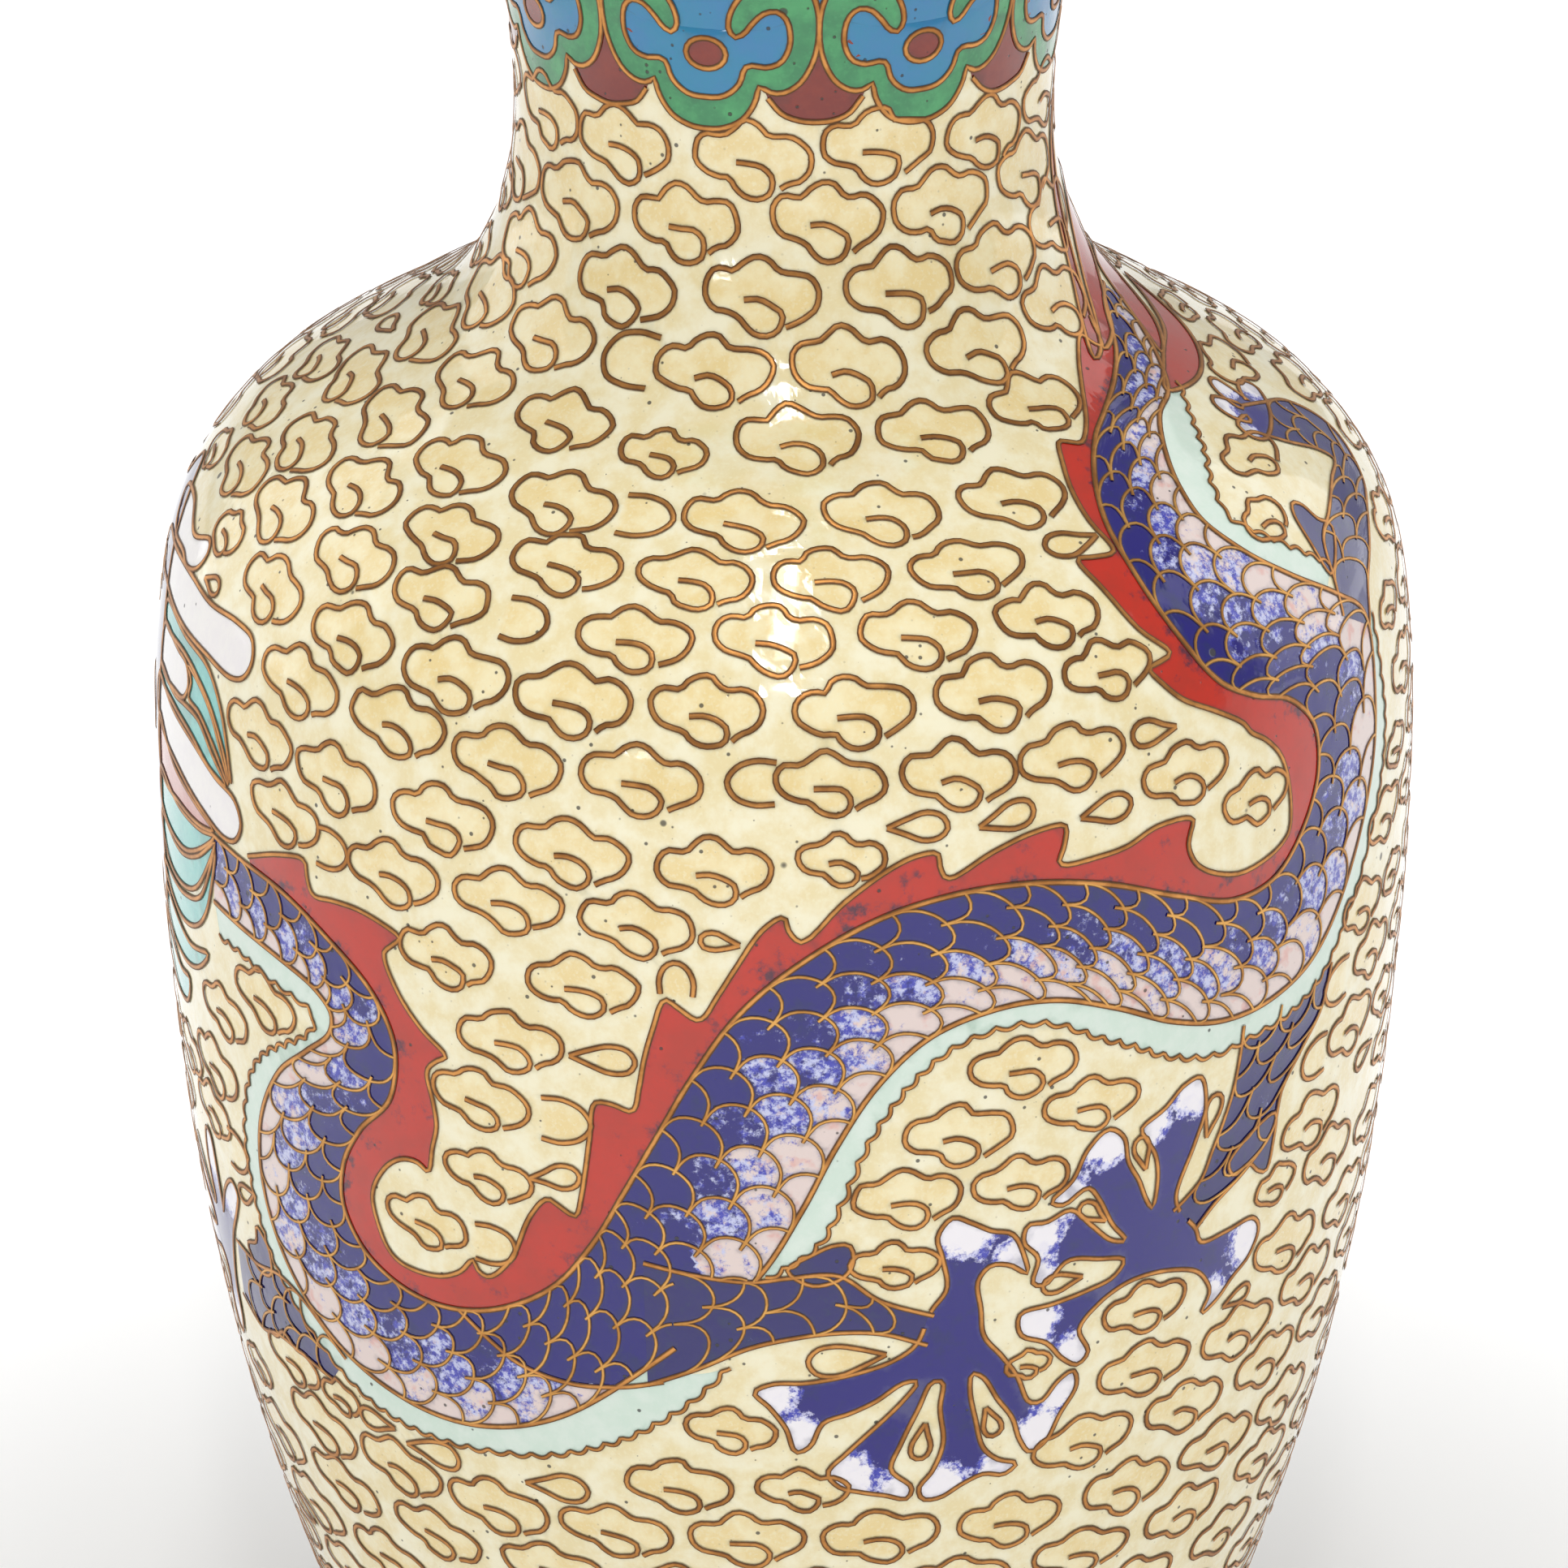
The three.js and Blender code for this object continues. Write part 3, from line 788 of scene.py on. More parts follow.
class Fields:
    """Enamel fields that are made once all the wires are laid."""

    def __init__(self) -> None:
        """Starts with no field."""
        self.waiting: list[tuple] = []

    def sheet(self, spots: np.ndarray, faces: "list | np.ndarray", depth: float, tone: "np.ndarray | None",
              name: str, finish: Finish, slot: str, nodes: tuple[str, ...]) -> None:
        """Keeps one mesh of places for a piece; meshes of the same name become one piece."""
        self.waiting.append((spots, faces, depth, tone, name, finish, slot, nodes))

    def loop(self, outline: np.ndarray, name: str, finish: Finish, slot: str, *nodes: str,
             depth: float = Level.FIELD.value, tone: "object | None" = None, grid: float = 1.1) -> None:
        """Fills a closed outline with a mesh fine enough to follow the wall.

        Args:
            outline: The outline's places.
            name, finish, slot, nodes: As for a sheet.
            depth: How deep the field lies.
            tone: What gives each place its tone, if the finish reads one.
            grid: The mesh's pitch, in millimetres.
        """
        scale = np.array([WALL.degree(outline[:, 1].mean()), 1.0])
        flat = outline * scale
        low, high = flat.min(0), flat.max(0)
        xs, ys = np.arange(low[0], high[0], grid), np.arange(low[1], high[1], grid)
        gx, gy = [g.ravel() for g in np.meshgrid(xs, ys)]
        gx = gx + np.where(np.round((gy - low[1]) / grid) % 2 > 0, grid / 2, 0)
        keep = inside(gx, gy, flat)
        near = np.array([[x, y] for x, y in zip(gx[keep], gy[keep])
                         if np.min(np.hypot(*(flat - (x, y)).T)) > grid * 0.4]).reshape(-1, 2)
        spots = np.vstack([flat, near])
        count = len(flat)
        edges = [(i, (i + 1) % count) for i in range(count)]
        made = geometry.delaunay_2d_cdt([Vector(p) for p in spots.tolist()], edges, [], 1, 1e-5)
        places = np.array([tuple(v) for v in made[0]]) / scale
        faces = [f if turns_left(made[0], f) else tuple(reversed(f)) for f in made[2]]
        tones = tone(places) if tone else None
        self.sheet(places, faces, depth, tones, name, finish, slot, nodes)

    def make(self) -> None:
        """Makes one piece of every name."""
        names = list(dict.fromkeys(row[4] for row in self.waiting))
        for name in names:
            rows = [row for row in self.waiting if row[4] == name]
            sheet = Sheet()
            nodes: list[str] = []
            for spots, faces, depth, tone, _, _, _, stands in rows:
                points = WALL.lay(spots, depth)
                marks = {"edge": WIRES.near(points), "tone": np.zeros(len(points)) if tone is None else tone}
                sheet.add(points, faces, spots * 0.01, **marks)
                nodes.extend(n for n in stands if n not in nodes)
            piece = sheet.make(name, rows[0][5], rows[0][6], *nodes)
            LOG.info("%s: %d faces", piece.name, len(piece.data.polygons))


def turns_left(spots: list, face: tuple[int, ...]) -> bool:
    """Tells whether a flat face runs anticlockwise."""
    a, b, c = (spots[i] for i in face[:3])
    return (b[0] - a[0]) * (c[1] - a[1]) - (b[1] - a[1]) * (c[0] - a[0]) > 0


FIELDS = Fields()


# ---------------------------------------------------------------- clouds and grounds


@dataclass
class Clouds:
    """The cloud cells of bent wire that fill the cream ground, row upon row."""

    seed: int = 7
    first: float = 37.85
    last: float = 188.0
    front: tuple[float, float] = (67.0, 67.5)
    body_pitch: tuple[float, float] = (10.75, 5.35)
    neck_pitch: tuple[float, float] = (9.9, 5.35)
    neck_start: float = 160.0
    cells: list = field(default_factory=list)

    # One bent wire, in millimetres: in at the curl, round the small lobe, and back over the top
    SHAPE = (
        (-1.3, -0.35), (-0.2, -0.3), (0.9, -0.55), (1.65, -1.15), (1.55, -1.95), (0.75, -2.45),
        (-0.3, -2.4), (-1.1, -1.95), (-1.6, -1.45), (-2.5, -1.25), (-3.6, -0.95), (-4.35, -0.2),
        (-4.35, 0.75), (-3.7, 1.4), (-2.75, 1.5), (-2.1, 1.55), (-1.5, 2.05), (-0.6, 2.5), (0.4, 2.35),
        (1.1, 1.75), (1.75, 1.5), (2.75, 1.55), (3.8, 1.15), (4.45, 0.35), (4.35, -0.55), (3.65, -1.25),
        (2.75, -1.6), (2.1, -1.9),
    )
    CURL = 6
    SMALL = (
        (-1.1, -0.3), (0.2, -0.35), (1.2, -0.9), (0.9, -1.7), (-0.3, -1.8), (-1.2, -1.3), (-2.3, -1.0),
        (-2.9, -0.1), (-2.2, 1.0), (-1.1, 1.2), (-0.1, 1.9), (1.0, 1.4), (2.2, 1.1), (2.9, 0.1),
        (2.3, -0.9), (1.5, -1.3),
    )
    # Where the clouds round the dragon stand: angle, length and, if it is not 1, size
    PLACED = (
        (-60, 186), (-36, 185.5), (-6.5, 185.5), (20, 186.2), (47.5, 185.4), (73, 186), (-74, 180.3),
        (-49, 180), (-21, 180.2), (9, 180.7), (35, 180.8), (63, 181), (-63, 174.7), (-33, 174.7),
        (-4.5, 175.2), (23.5, 175.3), (48, 175.4), (71, 176.3), (-70, 170), (-47, 169.6), (-12.5, 169.4),
        (11.5, 169.8), (37, 169.7), (61, 170.7), (-76, 164.5), (-56, 164), (-35, 163.4),
        (-17.5, 162.2, 0.75), (2, 164.0, 1.05), (23, 163.8), (42, 164.2, 0.95), (-78, 158), (-62, 158),
        (-45, 156.9), (-28, 156.3), (-5, 156.4), (12, 156.8), (29.3, 156.6, 0.97), (-70, 152), (-55, 152),
        (-39, 151.2), (-24, 151), (-9.5, 151), (5, 151.2), (20, 151.1), (66.3, 152.0, 0.85), (-76, 147),
        (-63, 147), (-48.5, 146.6), (-36, 146.1, 0.95), (-14.5, 145.6, 0.95), (-1, 146.1),
        (13, 146.1, 0.95), (26.6, 146.1, 0.95), (58.7, 147.4, 0.7), (-69, 142.8, 0.7), (-57, 141.6, 0.95),
        (-44, 141.1), (-31.5, 140.6), (-19.5, 140.4), (-7, 140.5, 0.95), (6.3, 140.5), (19.3, 141),
        (31, 141.2, 0.85), (-49, 136.2), (-36.5, 136), (-25, 135), (-12.5, 135), (4, 135.2, 0.95),
        (15.3, 135.2), (26, 135.3), (-54, 130.6), (-43, 130.1), (-31, 129.6), (-18.5, 128.9),
        (-6, 128.5, 0.97), (4.9, 129.4, 0.75), (37.6, 131.8, 0.92), (-49.5, 125.5, 0.95), (-36, 124.2),
        (-24.3, 124.3), (-12.7, 123.8), (45.8, 127.9, 0.8), (-30.5, 118.6, 0.95), (-17.5, 118.4, 0.97),
        (-24.3, 112.8, 0.97), (-27.4, 107.3, 0.95), (-27, 100.8, 0.85), (-33.9, 95.2, 0.85),
        (21, 111.2, 0.97), (15.3, 106.2), (27.8, 106.9, 0.9), (10.8, 101.2, 0.97), (21.2, 101.3, 0.9),
        (9.8, 95.4, 0.78), (35.2, 87.2, 0.92), (54.7, 86.7), (36, 81.3), (48.6, 80.8), (60.5, 81.5),
        (29.8, 75.9), (42.2, 75.8), (54.7, 75.8), (66.5, 76), (56.8, 97), (61.3, 92.3), (63.5, 102.9),
        (67.5, 108, 0.9), (64.2, 113, 0.9), (69.5, 118.8, 0.9), (51.4, 93.2, 0.7), (22.9, 84.8, 0.5),
        (-53.5, 70), (-41.4, 70.2), (-29.3, 69.6), (-16.6, 69.7), (-3.6, 70), (9.4, 70), (22.6, 69.8),
        (36, 69.9), (48.6, 70), (61, 69.8), (-57, 74.9, 0.9), (-48.7, 74.4, 0.6), (-10, 74.9, 0.97),
        (1.7, 75, 0.8), (-5, 80.6, 0.8), (-53.5, 108.6, 0.97), (-61.6, 104.7, 0.9), (-65, 98.7),
        (-67.4, 93.9, 0.85), (86, 157, 0.9),
    )
    # Drops and hooks between them: angle, length, turn and size
    DROPS = (
        (-15.6, 112.6, 0, 1.25), (-20.3, 101.9, 10, 1.05), (11.6, 131.6, -6, 1.15), (19.6, 131.5, 8, 1.1),
        (29, 130.7, 3, 1.1), (34.4, 135.7, 175, 1.0), (32.8, 151.6, 178, 1.15), (-36.2, 73.2, 0, 1.3),
        (-22.2, 73.1, 2, 1.3), (-43.5, 73.9, 180, 1.0), (12.9, 78.9, -100, 0.85), (19.6, 79.9, -72, 0.75),
        (5.6, 87.2, 182, 1.5), (28.4, 97.3, 138, 0.75), (25.7, 91.7, 180, 0.85), (33.4, 101.4, 100, 0.75),
        (41.3, 102.6, 72, 0.9), (47.4, 84.4, 8, 0.8), (-5.5, 122.9, 170, 0.75), (-67, 138.9, 0, 0.75),
        (-60.9, 88.8, 200, 0.85),
    )
    HOOKS = (
        (-19.4, 107, 180, 0.95), (-26.8, 94.9, 180, 0.85), (-26, 145.9, 180, 0.85),
        (-17, 156.4, 180, 0.95), (-2.6, 135.2, 0, 0.85), (-28, 169.4, 0, 1.05), (-43.2, 124.4, 180, 0.8),
        (56.2, 102.5, 0, 0.85), (59.4, 107.9, 0, 0.9), (-9.3, 119.6, -90, 0.65), (-61.8, 92.3, 180, 0.85),
    )
    DROP = (
        (-2.1, -0.1), (-0.9, 0.45), (0.4, 0.95), (1.5, 0.75), (1.9, 0.0), (1.5, -0.7), (0.4, -0.9),
        (-0.9, -0.5),
    )
    HOOK = ((1.9, 2.0), (0.2, 2.1), (-1.5, 1.5), (-2.3, 0.2), (-1.7, -1.1), (0.0, -1.8), (1.8, -1.7))

    # Cells under this size take the small shape, which starts its curl sooner and is drawn larger
    small_below = 0.72
    small_curl = 5
    small_gain = 1.35
    # How much taller a cell stands above each length along the wall
    stretches = ((154.0, 1.19), (137.0, 1.13), (0.0, 1.07))

    def lay(self) -> None:
        """Lays every cloud where nothing else is, and fills the gaps with drops and hooks."""
        draw = random.Random(self.seed)
        self.place(draw)
        row, along = 0, self.first
        while along < self.last:
            pitch = self.neck_pitch if along > self.neck_start else self.body_pitch
            count = int(round(360 * WALL.degree(along) / pitch[0]))
            start = (0.5 if row % 2 else 0.0) * 360 / count - 3.4
            for i in range(count):
                if not self.in_front(start + i * 360 / count, along):
                    self.try_cloud(draw, start + i * 360 / count, along)
            along += pitch[1]
            row += 1
        self.fill(draw)

    def in_front(self, angle: float, along: float) -> bool:
        """Tells whether a place lies where every cloud is placed one by one."""
        return abs((angle + 180) % 360 - 180) < self.front[0] and along > self.front[1]

    def place(self, draw: random.Random) -> None:
        """Lays the clouds, drops and hooks round the dragon.

        Args:
            draw: The seeded draws.
        """
        for angle, along, *rest in self.PLACED:
            size = rest[0] if rest else 1.0
            small = size < self.small_below
            shape, curl = (self.SMALL, self.small_curl) if small else (self.SHAPE, self.CURL)
            if small:
                size *= self.small_gain
            bent = self.wander(draw, shape, 0.11)
            high = size * next(gain for start, gain in self.stretches if along > start)
            sizes = (size * draw.uniform(0.95, 1.02), high * draw.uniform(0.95, 1.02))
            self.lay_cloud(bent, (angle, along), draw.uniform(-4, 4), sizes, curl, 0.5)
        for closed, shape, rows in ((True, self.DROP, self.DROPS), (False, self.HOOK, self.HOOKS)):
            for angle, along, turn, size in rows:
                bent = self.wander(draw, shape, 0.06)
                self.lay_small(bent, (angle, along), turn, (size, size), closed)

    def lay_small(self, bent: np.ndarray, middle: tuple[float, float], turn: float, size: tuple[float, float],
                  closed: bool) -> None:
        """Lays a drop or a hook."""
        outline = WALL.placed(bent, middle, turn, size)
        path = WALL.smooth(outline, 0.45)
        if closed:
            path = np.vstack([path, path[:1]])
        CANVAS.take(outline)
        self.cells.append(outline)
        WIRES.run(self.kit(middle), path)

    def wander(self, draw: random.Random, shape: tuple, amount: float) -> np.ndarray:
        """Bends a shape's points a little by hand."""
        return np.array([(x + draw.uniform(-amount, amount), y + draw.uniform(-amount, amount))
                         for x, y in shape])

    def try_cloud(self, draw: random.Random, angle: float, along: float) -> None:
        """Lays one cloud as near its place as what is there allows.

        Args:
            draw: The seeded draws.
            angle, along: Its place in the pattern.
        """
        neck = along > self.neck_start
        base = self.wander(draw, self.SHAPE, 0.13)
        turn = draw.uniform(-5, 5)
        wide = draw.uniform(0.93, 1.03) * (0.97 if neck else 1.0)
        high = draw.uniform(0.96, 1.06) * (1.12 if neck else 1.0)
        shift = draw.uniform(-0.35, 0.35), draw.uniform(-0.2, 0.2)
        tries = [
            (0, 0, 1.0), (1.0, 0, 0.96), (-1.0, 0, 0.96), (0, 0.8, 0.95), (0, -0.8, 0.95), (1.8, 0, 0.85),
            (-1.8, 0, 0.85), (1.2, 1.0, 0.85), (-1.2, -1.0, 0.85)
        ]
        for dx, dy, size in tries:
            middle = (angle + (shift[0] + dx) / WALL.degree(along), along + shift[1] + dy)
            if self.lay_if_clear(base, middle, turn, (wide * size, high * size), self.CURL, 0.55):
                return
        small = self.wander(draw, self.SMALL, 0.12)
        for dx, dy in ((0, 0), (1.5, 0), (-1.5, 0), (0, 1.0), (0, -1.0), (2.6, 0.6), (-2.6, -0.6)):
            middle = (angle + dx / WALL.degree(along), along + dy)
            if self.lay_if_clear(small, middle, turn, (1.0, 0.95), 5, 0.5):
                return

    def lay_if_clear(self, shape: np.ndarray, middle: tuple[float, float], turn: float,
                     size: tuple[float, float], curl: int, step: float) -> bool:
        """Lays a cloud if its place is free.

        Args:
            shape: The wire's points.
            middle, turn, size: How it is placed.
            curl: How many of its points lie within the cell.
            step: The length of the wire's divisions.
        Returns:
            True if it was laid.
        """
        loop = WALL.placed(shape[curl:], middle, turn, (size[0] * 1.07, size[1] * 1.07))
        if CANVAS.share(loop) > 0.0:
            return False
        self.lay_cloud(shape, middle, turn, size, curl, step)
        return True

    def lay_cloud(self, shape: np.ndarray, middle: tuple[float, float], turn: float,
                  size: tuple[float, float], curl: int, step: float) -> None:
        """Lays a cloud's wire, and keeps its cell.

        Args:
            shape, middle, turn, size, curl, step: As for a cloud laid in a free place.
        """
        CANVAS.take(WALL.placed(shape[curl:], middle, turn, (size[0] * 1.07, size[1] * 1.07)))
        self.cells.append(WALL.placed(shape[curl:], middle, turn, size))
        WIRES.run(self.kit(middle), WALL.smooth(WALL.placed(shape, middle, turn, size), step))

    def kit(self, middle: tuple[float, float]) -> str:
        """Names the piece that a wire belongs to, by its height and side."""
        band = "shoulder" if middle[1] > 128 else "belly" if middle[1] > 78 else "foot"
        side = "front" if math.cos(math.radians(middle[0])) > 0 else "back"
        return f"cloud_wires_{band}_{side}"

    def fill(self, draw: random.Random) -> None:
        """Lays drops and hooks in gaps beside the dragon and the collar."""
        for shape, tries in ((self.HOOK, 2600), (self.DROP, 9000)):
            for _ in range(tries):
                middle = (draw.uniform(-180, 180), draw.uniform(self.first, self.last))
                turn = draw.choice((draw.uniform(-25, 25), draw.uniform(155, 205)))
                bent = self.wander(draw, shape, 0.1)
                loop = WALL.placed(bent, middle, turn, (1.5, 1.85) if shape is self.DROP else (1.3, 1.3))
                if not self.in_front(*middle) and CANVAS.share(loop) == 0.0:
                    self.lay_small(bent, middle, turn, (1.0, 1.0), shape is self.DROP)

    def mark(self, spots: np.ndarray) -> np.ndarray:
        """Tells how far places lie within a cloud's cell.

        Args:
            spots: Places of the map, between -180 and 180 degrees.
        Returns:
            1 within a cell and 0 outside.
        """
        grid = Canvas()
        for loop in self.cells:
            grid.take(loop)
        x = np.round(spots[:, 0] / Canvas.ACROSS).astype(int) % grid.wide
        y = np.clip(np.round(spots[:, 1] / Canvas.ALONG).astype(int), 0, grid.taken.shape[1] - 1)
        return grid.taken[x, y].astype(float)


@dataclass
class Turned:
    """A wall of revolution, spun from a profile."""

    name: str
    profile: list[tuple[float, float]]
    sides: int = 256

    def spin(self) -> bpy.types.Object:
        """Spins the profile: a one-point mesh is extruded along it, then spun round the axis.

        Returns:
            The new object, welded.
        """
        bpy.ops.object.select_all(action="DESELECT")
        start = self.profile[0]
        bpy.ops.mesh.primitive_circle_add(vertices=3, radius=MM, location=(0, 0, 0))
        piece = bpy.context.object
        piece.name = piece.data.name = self.name
        bpy.ops.object.mode_set(mode="EDIT")
        bpy.ops.mesh.select_all(action="SELECT")
        bpy.ops.mesh.merge(type="CENTER")
        bpy.ops.transform.translate(value=(0, -start[0] * MM, start[1] * MM))
        for before, after in zip(self.profile, self.profile[1:]):
            move = (0, (before[0] - after[0]) * MM, (after[1] - before[1]) * MM)
            bpy.ops.mesh.extrude_vertices_move(TRANSFORM_OT_translate={"value": move})
        bpy.ops.mesh.select_all(action="SELECT")
        bpy.ops.mesh.spin(steps=self.sides, angle=2 * math.pi, center=(0, 0, 0), axis=(0, 0, 1))
        bpy.ops.mesh.select_all(action="SELECT")
        bpy.ops.mesh.remove_doubles(threshold=0.002 * MM)
        bpy.ops.object.mode_set(mode="OBJECT")
        return piece

    def face(self, piece: bpy.types.Object, outwards: bool) -> None:
        """Turns an open wall's faces away from the axis, or towards it."""
        mesh = piece.data
        middle = mesh.polygons[len(mesh.polygons) // 2]
        away = middle.center.x * middle.normal.x + middle.center.y * middle.normal.y > 0
        if away != outwards:
            mesh.flip_normals()
        mesh.shade_smooth()


@dataclass
class Ground:
    """The enamel grounds, spun in bands so that each band's mesh stays small."""

    clouds: Clouds
    sides: int = 480
    pitch: float = 0.62
    foot_seam: float = 17.0
    collar: float = 193.0
    bands: tuple = ((17.0, 62.0), (62.0, 100.0), (100.0, 138.0), (138.0, 193.0))

    def build(self) -> None:
        """Builds the cream bands, the neck and the foot band."""
        names = ("cream_ground_foot", "cream_ground_belly", "cream_ground_breast", "cream_ground_shoulder")
        for name, (start, end) in zip(names, self.bands):
            piece = self.band(name, start, end, self.sides, self.pitch)
            stands = ("cream_ground_enamel",) if name == names[0] else ()
            dress(piece, Finish.CREAM, "cream_enamel", *stands)
        neck = self.band("neck_ground", self.collar, WALL.length - 2.0, 320, 0.7)
        dress(neck, Finish.BLUE, "blue_enamel", "neck_enamel")
        foot = self.band("foot_ground", 4.3, self.foot_seam, 360, 0.7)
        dress(foot, Finish.BLUE, "blue_enamel", "foot_band_enamel")

    def band(self, name: str, start: float, end: float, sides: int, pitch: float) -> bpy.types.Object:
        """Spins one band and marks its points.

        Args:
            name: The piece's name.
            start, end: The band's lengths along the outline.
            sides: Divisions round it.
            pitch: Divisions along it, in millimetres.
        Returns:
            The new object.
        """
        along = np.linspace(start, end, int(round((end - start) / pitch)) + 1)
        r, z = WALL.profile(along, Level.GROUND.value)
        turned = Turned(name, list(zip(r.tolist(), z.tolist())), sides)
        piece = turned.spin()
        turned.face(piece, True)
        mesh = piece.data
        flat = np.empty(len(mesh.vertices) * 3, np.float32)
        mesh.vertices.foreach_get("co", flat)
        points = flat.reshape(-1, 3).astype(float)
        spots = np.stack([
            np.degrees(np.arctan2(points[:, 0], -points[:, 1])), self.length_at(points[:, 2] / MM, along, z),
        ], 1)
        marks = {"edge": WIRES.near(points), "cell": self.clouds.mark(spots)}
        for key, values in marks.items():
            mesh.attributes.new(key, "FLOAT", "POINT").data.foreach_set("value", values.astype(np.float32))
        LOG.info("%s: %d faces", name, len(mesh.polygons))
        return piece

    def length_at(self, heights: np.ndarray, along: np.ndarray, z: np.ndarray) -> np.ndarray:
        """Finds lengths along the outline from heights."""
        return np.interp(heights, z, along)


# ---------------------------------------------------------------- studio


@dataclass
class Studio:
    """The white room: floor, soft light and camera."""

    floor_size: float = 9.0
    distance: float = 0.6
    elevation: float = 24.0
    target: tuple[float, float, float] = (0.0, 0.0, 0.110)
    lens: float = 172.7
    sensor: float = 36.0
    surroundings: float = 0.52
    # The floor glows white from this far out as painted light, so the shadow stays near the foot: real shadow
    # there, set off by painted brightness further out
    painted_floor_glow: float = 0.42
    glow_reach: tuple[float, float] = (0.075, 0.2)
    # What the lights point at, and the lights: place, size and power
    shoulder: tuple[float, float, float] = (0.0, -0.02, 0.14)
    strip: tuple = ((0.0, -0.24, 0.94), (0.04, 0.6), 1.6)
    spot: tuple = ((0.004, -0.857, 0.949), (0.06, 0.06), 1.2)
    side: tuple = ((-0.37, -0.85, 0.27), (0.05, 0.05), 0.16)
    overhead: tuple = ((0.0, -0.3, 1.35), (1.0, 1.0), 5.0)
    rim_place: tuple[float, float, float] = (1.1, 0.5, 0.4)
    rim_size: tuple[float, float] = (1.0, 1.4)
    rim_power: float = 4.2

    def build(self) -> None:
        """Builds the floor, the lights and the camera."""
        self.world()
        self.floor()
        self.lights()
        self.camera()
        bpy.context.scene.view_settings.view_transform = "Standard"

    def world(self) -> None:
        """Sets the white surroundings."""
        world = bpy.data.worlds.new("white_room")
        world.use_nodes = True
        background = world.node_tree.nodes["Background"]
        background.inputs["Color"].default_value = (1, 1, 1, 1)
        background.inputs["Strength"].default_value = self.surroundings
        bpy.context.scene.world = world

    def floor(self) -> None:
        """Lays the pale floor, whose emission is painted light that brightens it away from the foot."""
        bpy.ops.object.select_all(action="DESELECT")
        bpy.ops.mesh.primitive_plane_add(size=self.floor_size, location=(0, 0, 0))
        floor = bpy.context.object
        floor.name = "floor"
        s = Shader("pale_floor")
        tint = s.noise(60.0, 2.0)
        colour = s.mix(tint * 0.2, (0.93, 0.93, 0.93, 1), (0.9, 0.9, 0.9, 1))
        s.finish(colour, 0.6)
        s.surface.inputs["Specular IOR Level"].default_value = 0.1
        # Painted light: the floor's emission brightens it from a distance out, leaving a darker pool round
        # the foot
        far = s.node("ShaderNodeVectorMath", {"operation": "LENGTH"}, [s.place], "Value")
        painted_glow = far.ramp(*self.glow_reach)
        s.surface.inputs["Emission Strength"].default_value = self.painted_floor_glow
        s.feed(s.surface.inputs["Emission Color"], s.mix(painted_glow, (0, 0, 0, 1), (1, 1, 1, 1)))
        floor.data.materials.append(s.material)

    def lamp(self, name: str, place: tuple[float, float, float], size: tuple[float, float], power: float,
             aim: tuple[float, float, float]) -> bpy.types.Object:
        """Hangs one soft light.

        Args:
            name: Its name.
            place: Where it hangs, in metres.
            size: Its width and height, in metres.
            power: Its power in watts.
            aim: What it points at.
        Returns:
            The light.
        """
        light = bpy.data.lights.new(name, "AREA")
        light.shape = "RECTANGLE"
        light.size, light.size_y = size
        light.energy = power
        made = bpy.data.objects.new(name, light)
        made.location = place
        way = Vector(aim) - Vector(place)
        made.rotation_euler = way.to_track_quat("-Z", "Y").to_euler()
        bpy.context.scene.collection.objects.link(made)
        return made

    def lights(self) -> None:
        """Hangs the narrow strip, the two small lamps, the broad overhead light and the two rim lights.

        The overhead light is left out of reflections, and the rim lights are only seen in them.
        """
        self.lamp("strip_light", *self.strip, self.shoulder)
        spot = self.lamp("front_lamp", *self.spot, self.shoulder)
        spot.data.shape = "DISK"
        self.lamp("side_lamp", *self.side, self.shoulder)
        over = self.lamp("overhead_light", *self.overhead, self.shoulder)
        over.visible_glossy = False
        across, back, up = self.rim_place
        for name, way in (("left_rim_light", -1.0), ("right_rim_light", 1.0)):
            rim = self.lamp(name, (way * across, back, up), self.rim_size, self.rim_power, self.shoulder)
            rim.visible_diffuse = False

    def camera(self) -> None:
        """Sets the long-lensed camera above the front."""
        view = bpy.data.cameras.new("camera")
        view.lens, view.sensor_width = self.lens, self.sensor
        view.clip_start, view.clip_end = 0.02, 30.0
        made = bpy.data.objects.new("camera", view)
        tilt = math.radians(self.elevation)
        aim = Vector(self.target)
        back = Vector((0, -math.cos(tilt), math.sin(tilt)))
        made.location = aim + back * self.distance
        made.rotation_euler = (-back).to_track_quat("-Z", "Y").to_euler()
        bpy.context.scene.collection.objects.link(made)
        bpy.context.scene.camera = made


# ---------------------------------------------------------------- the dragon


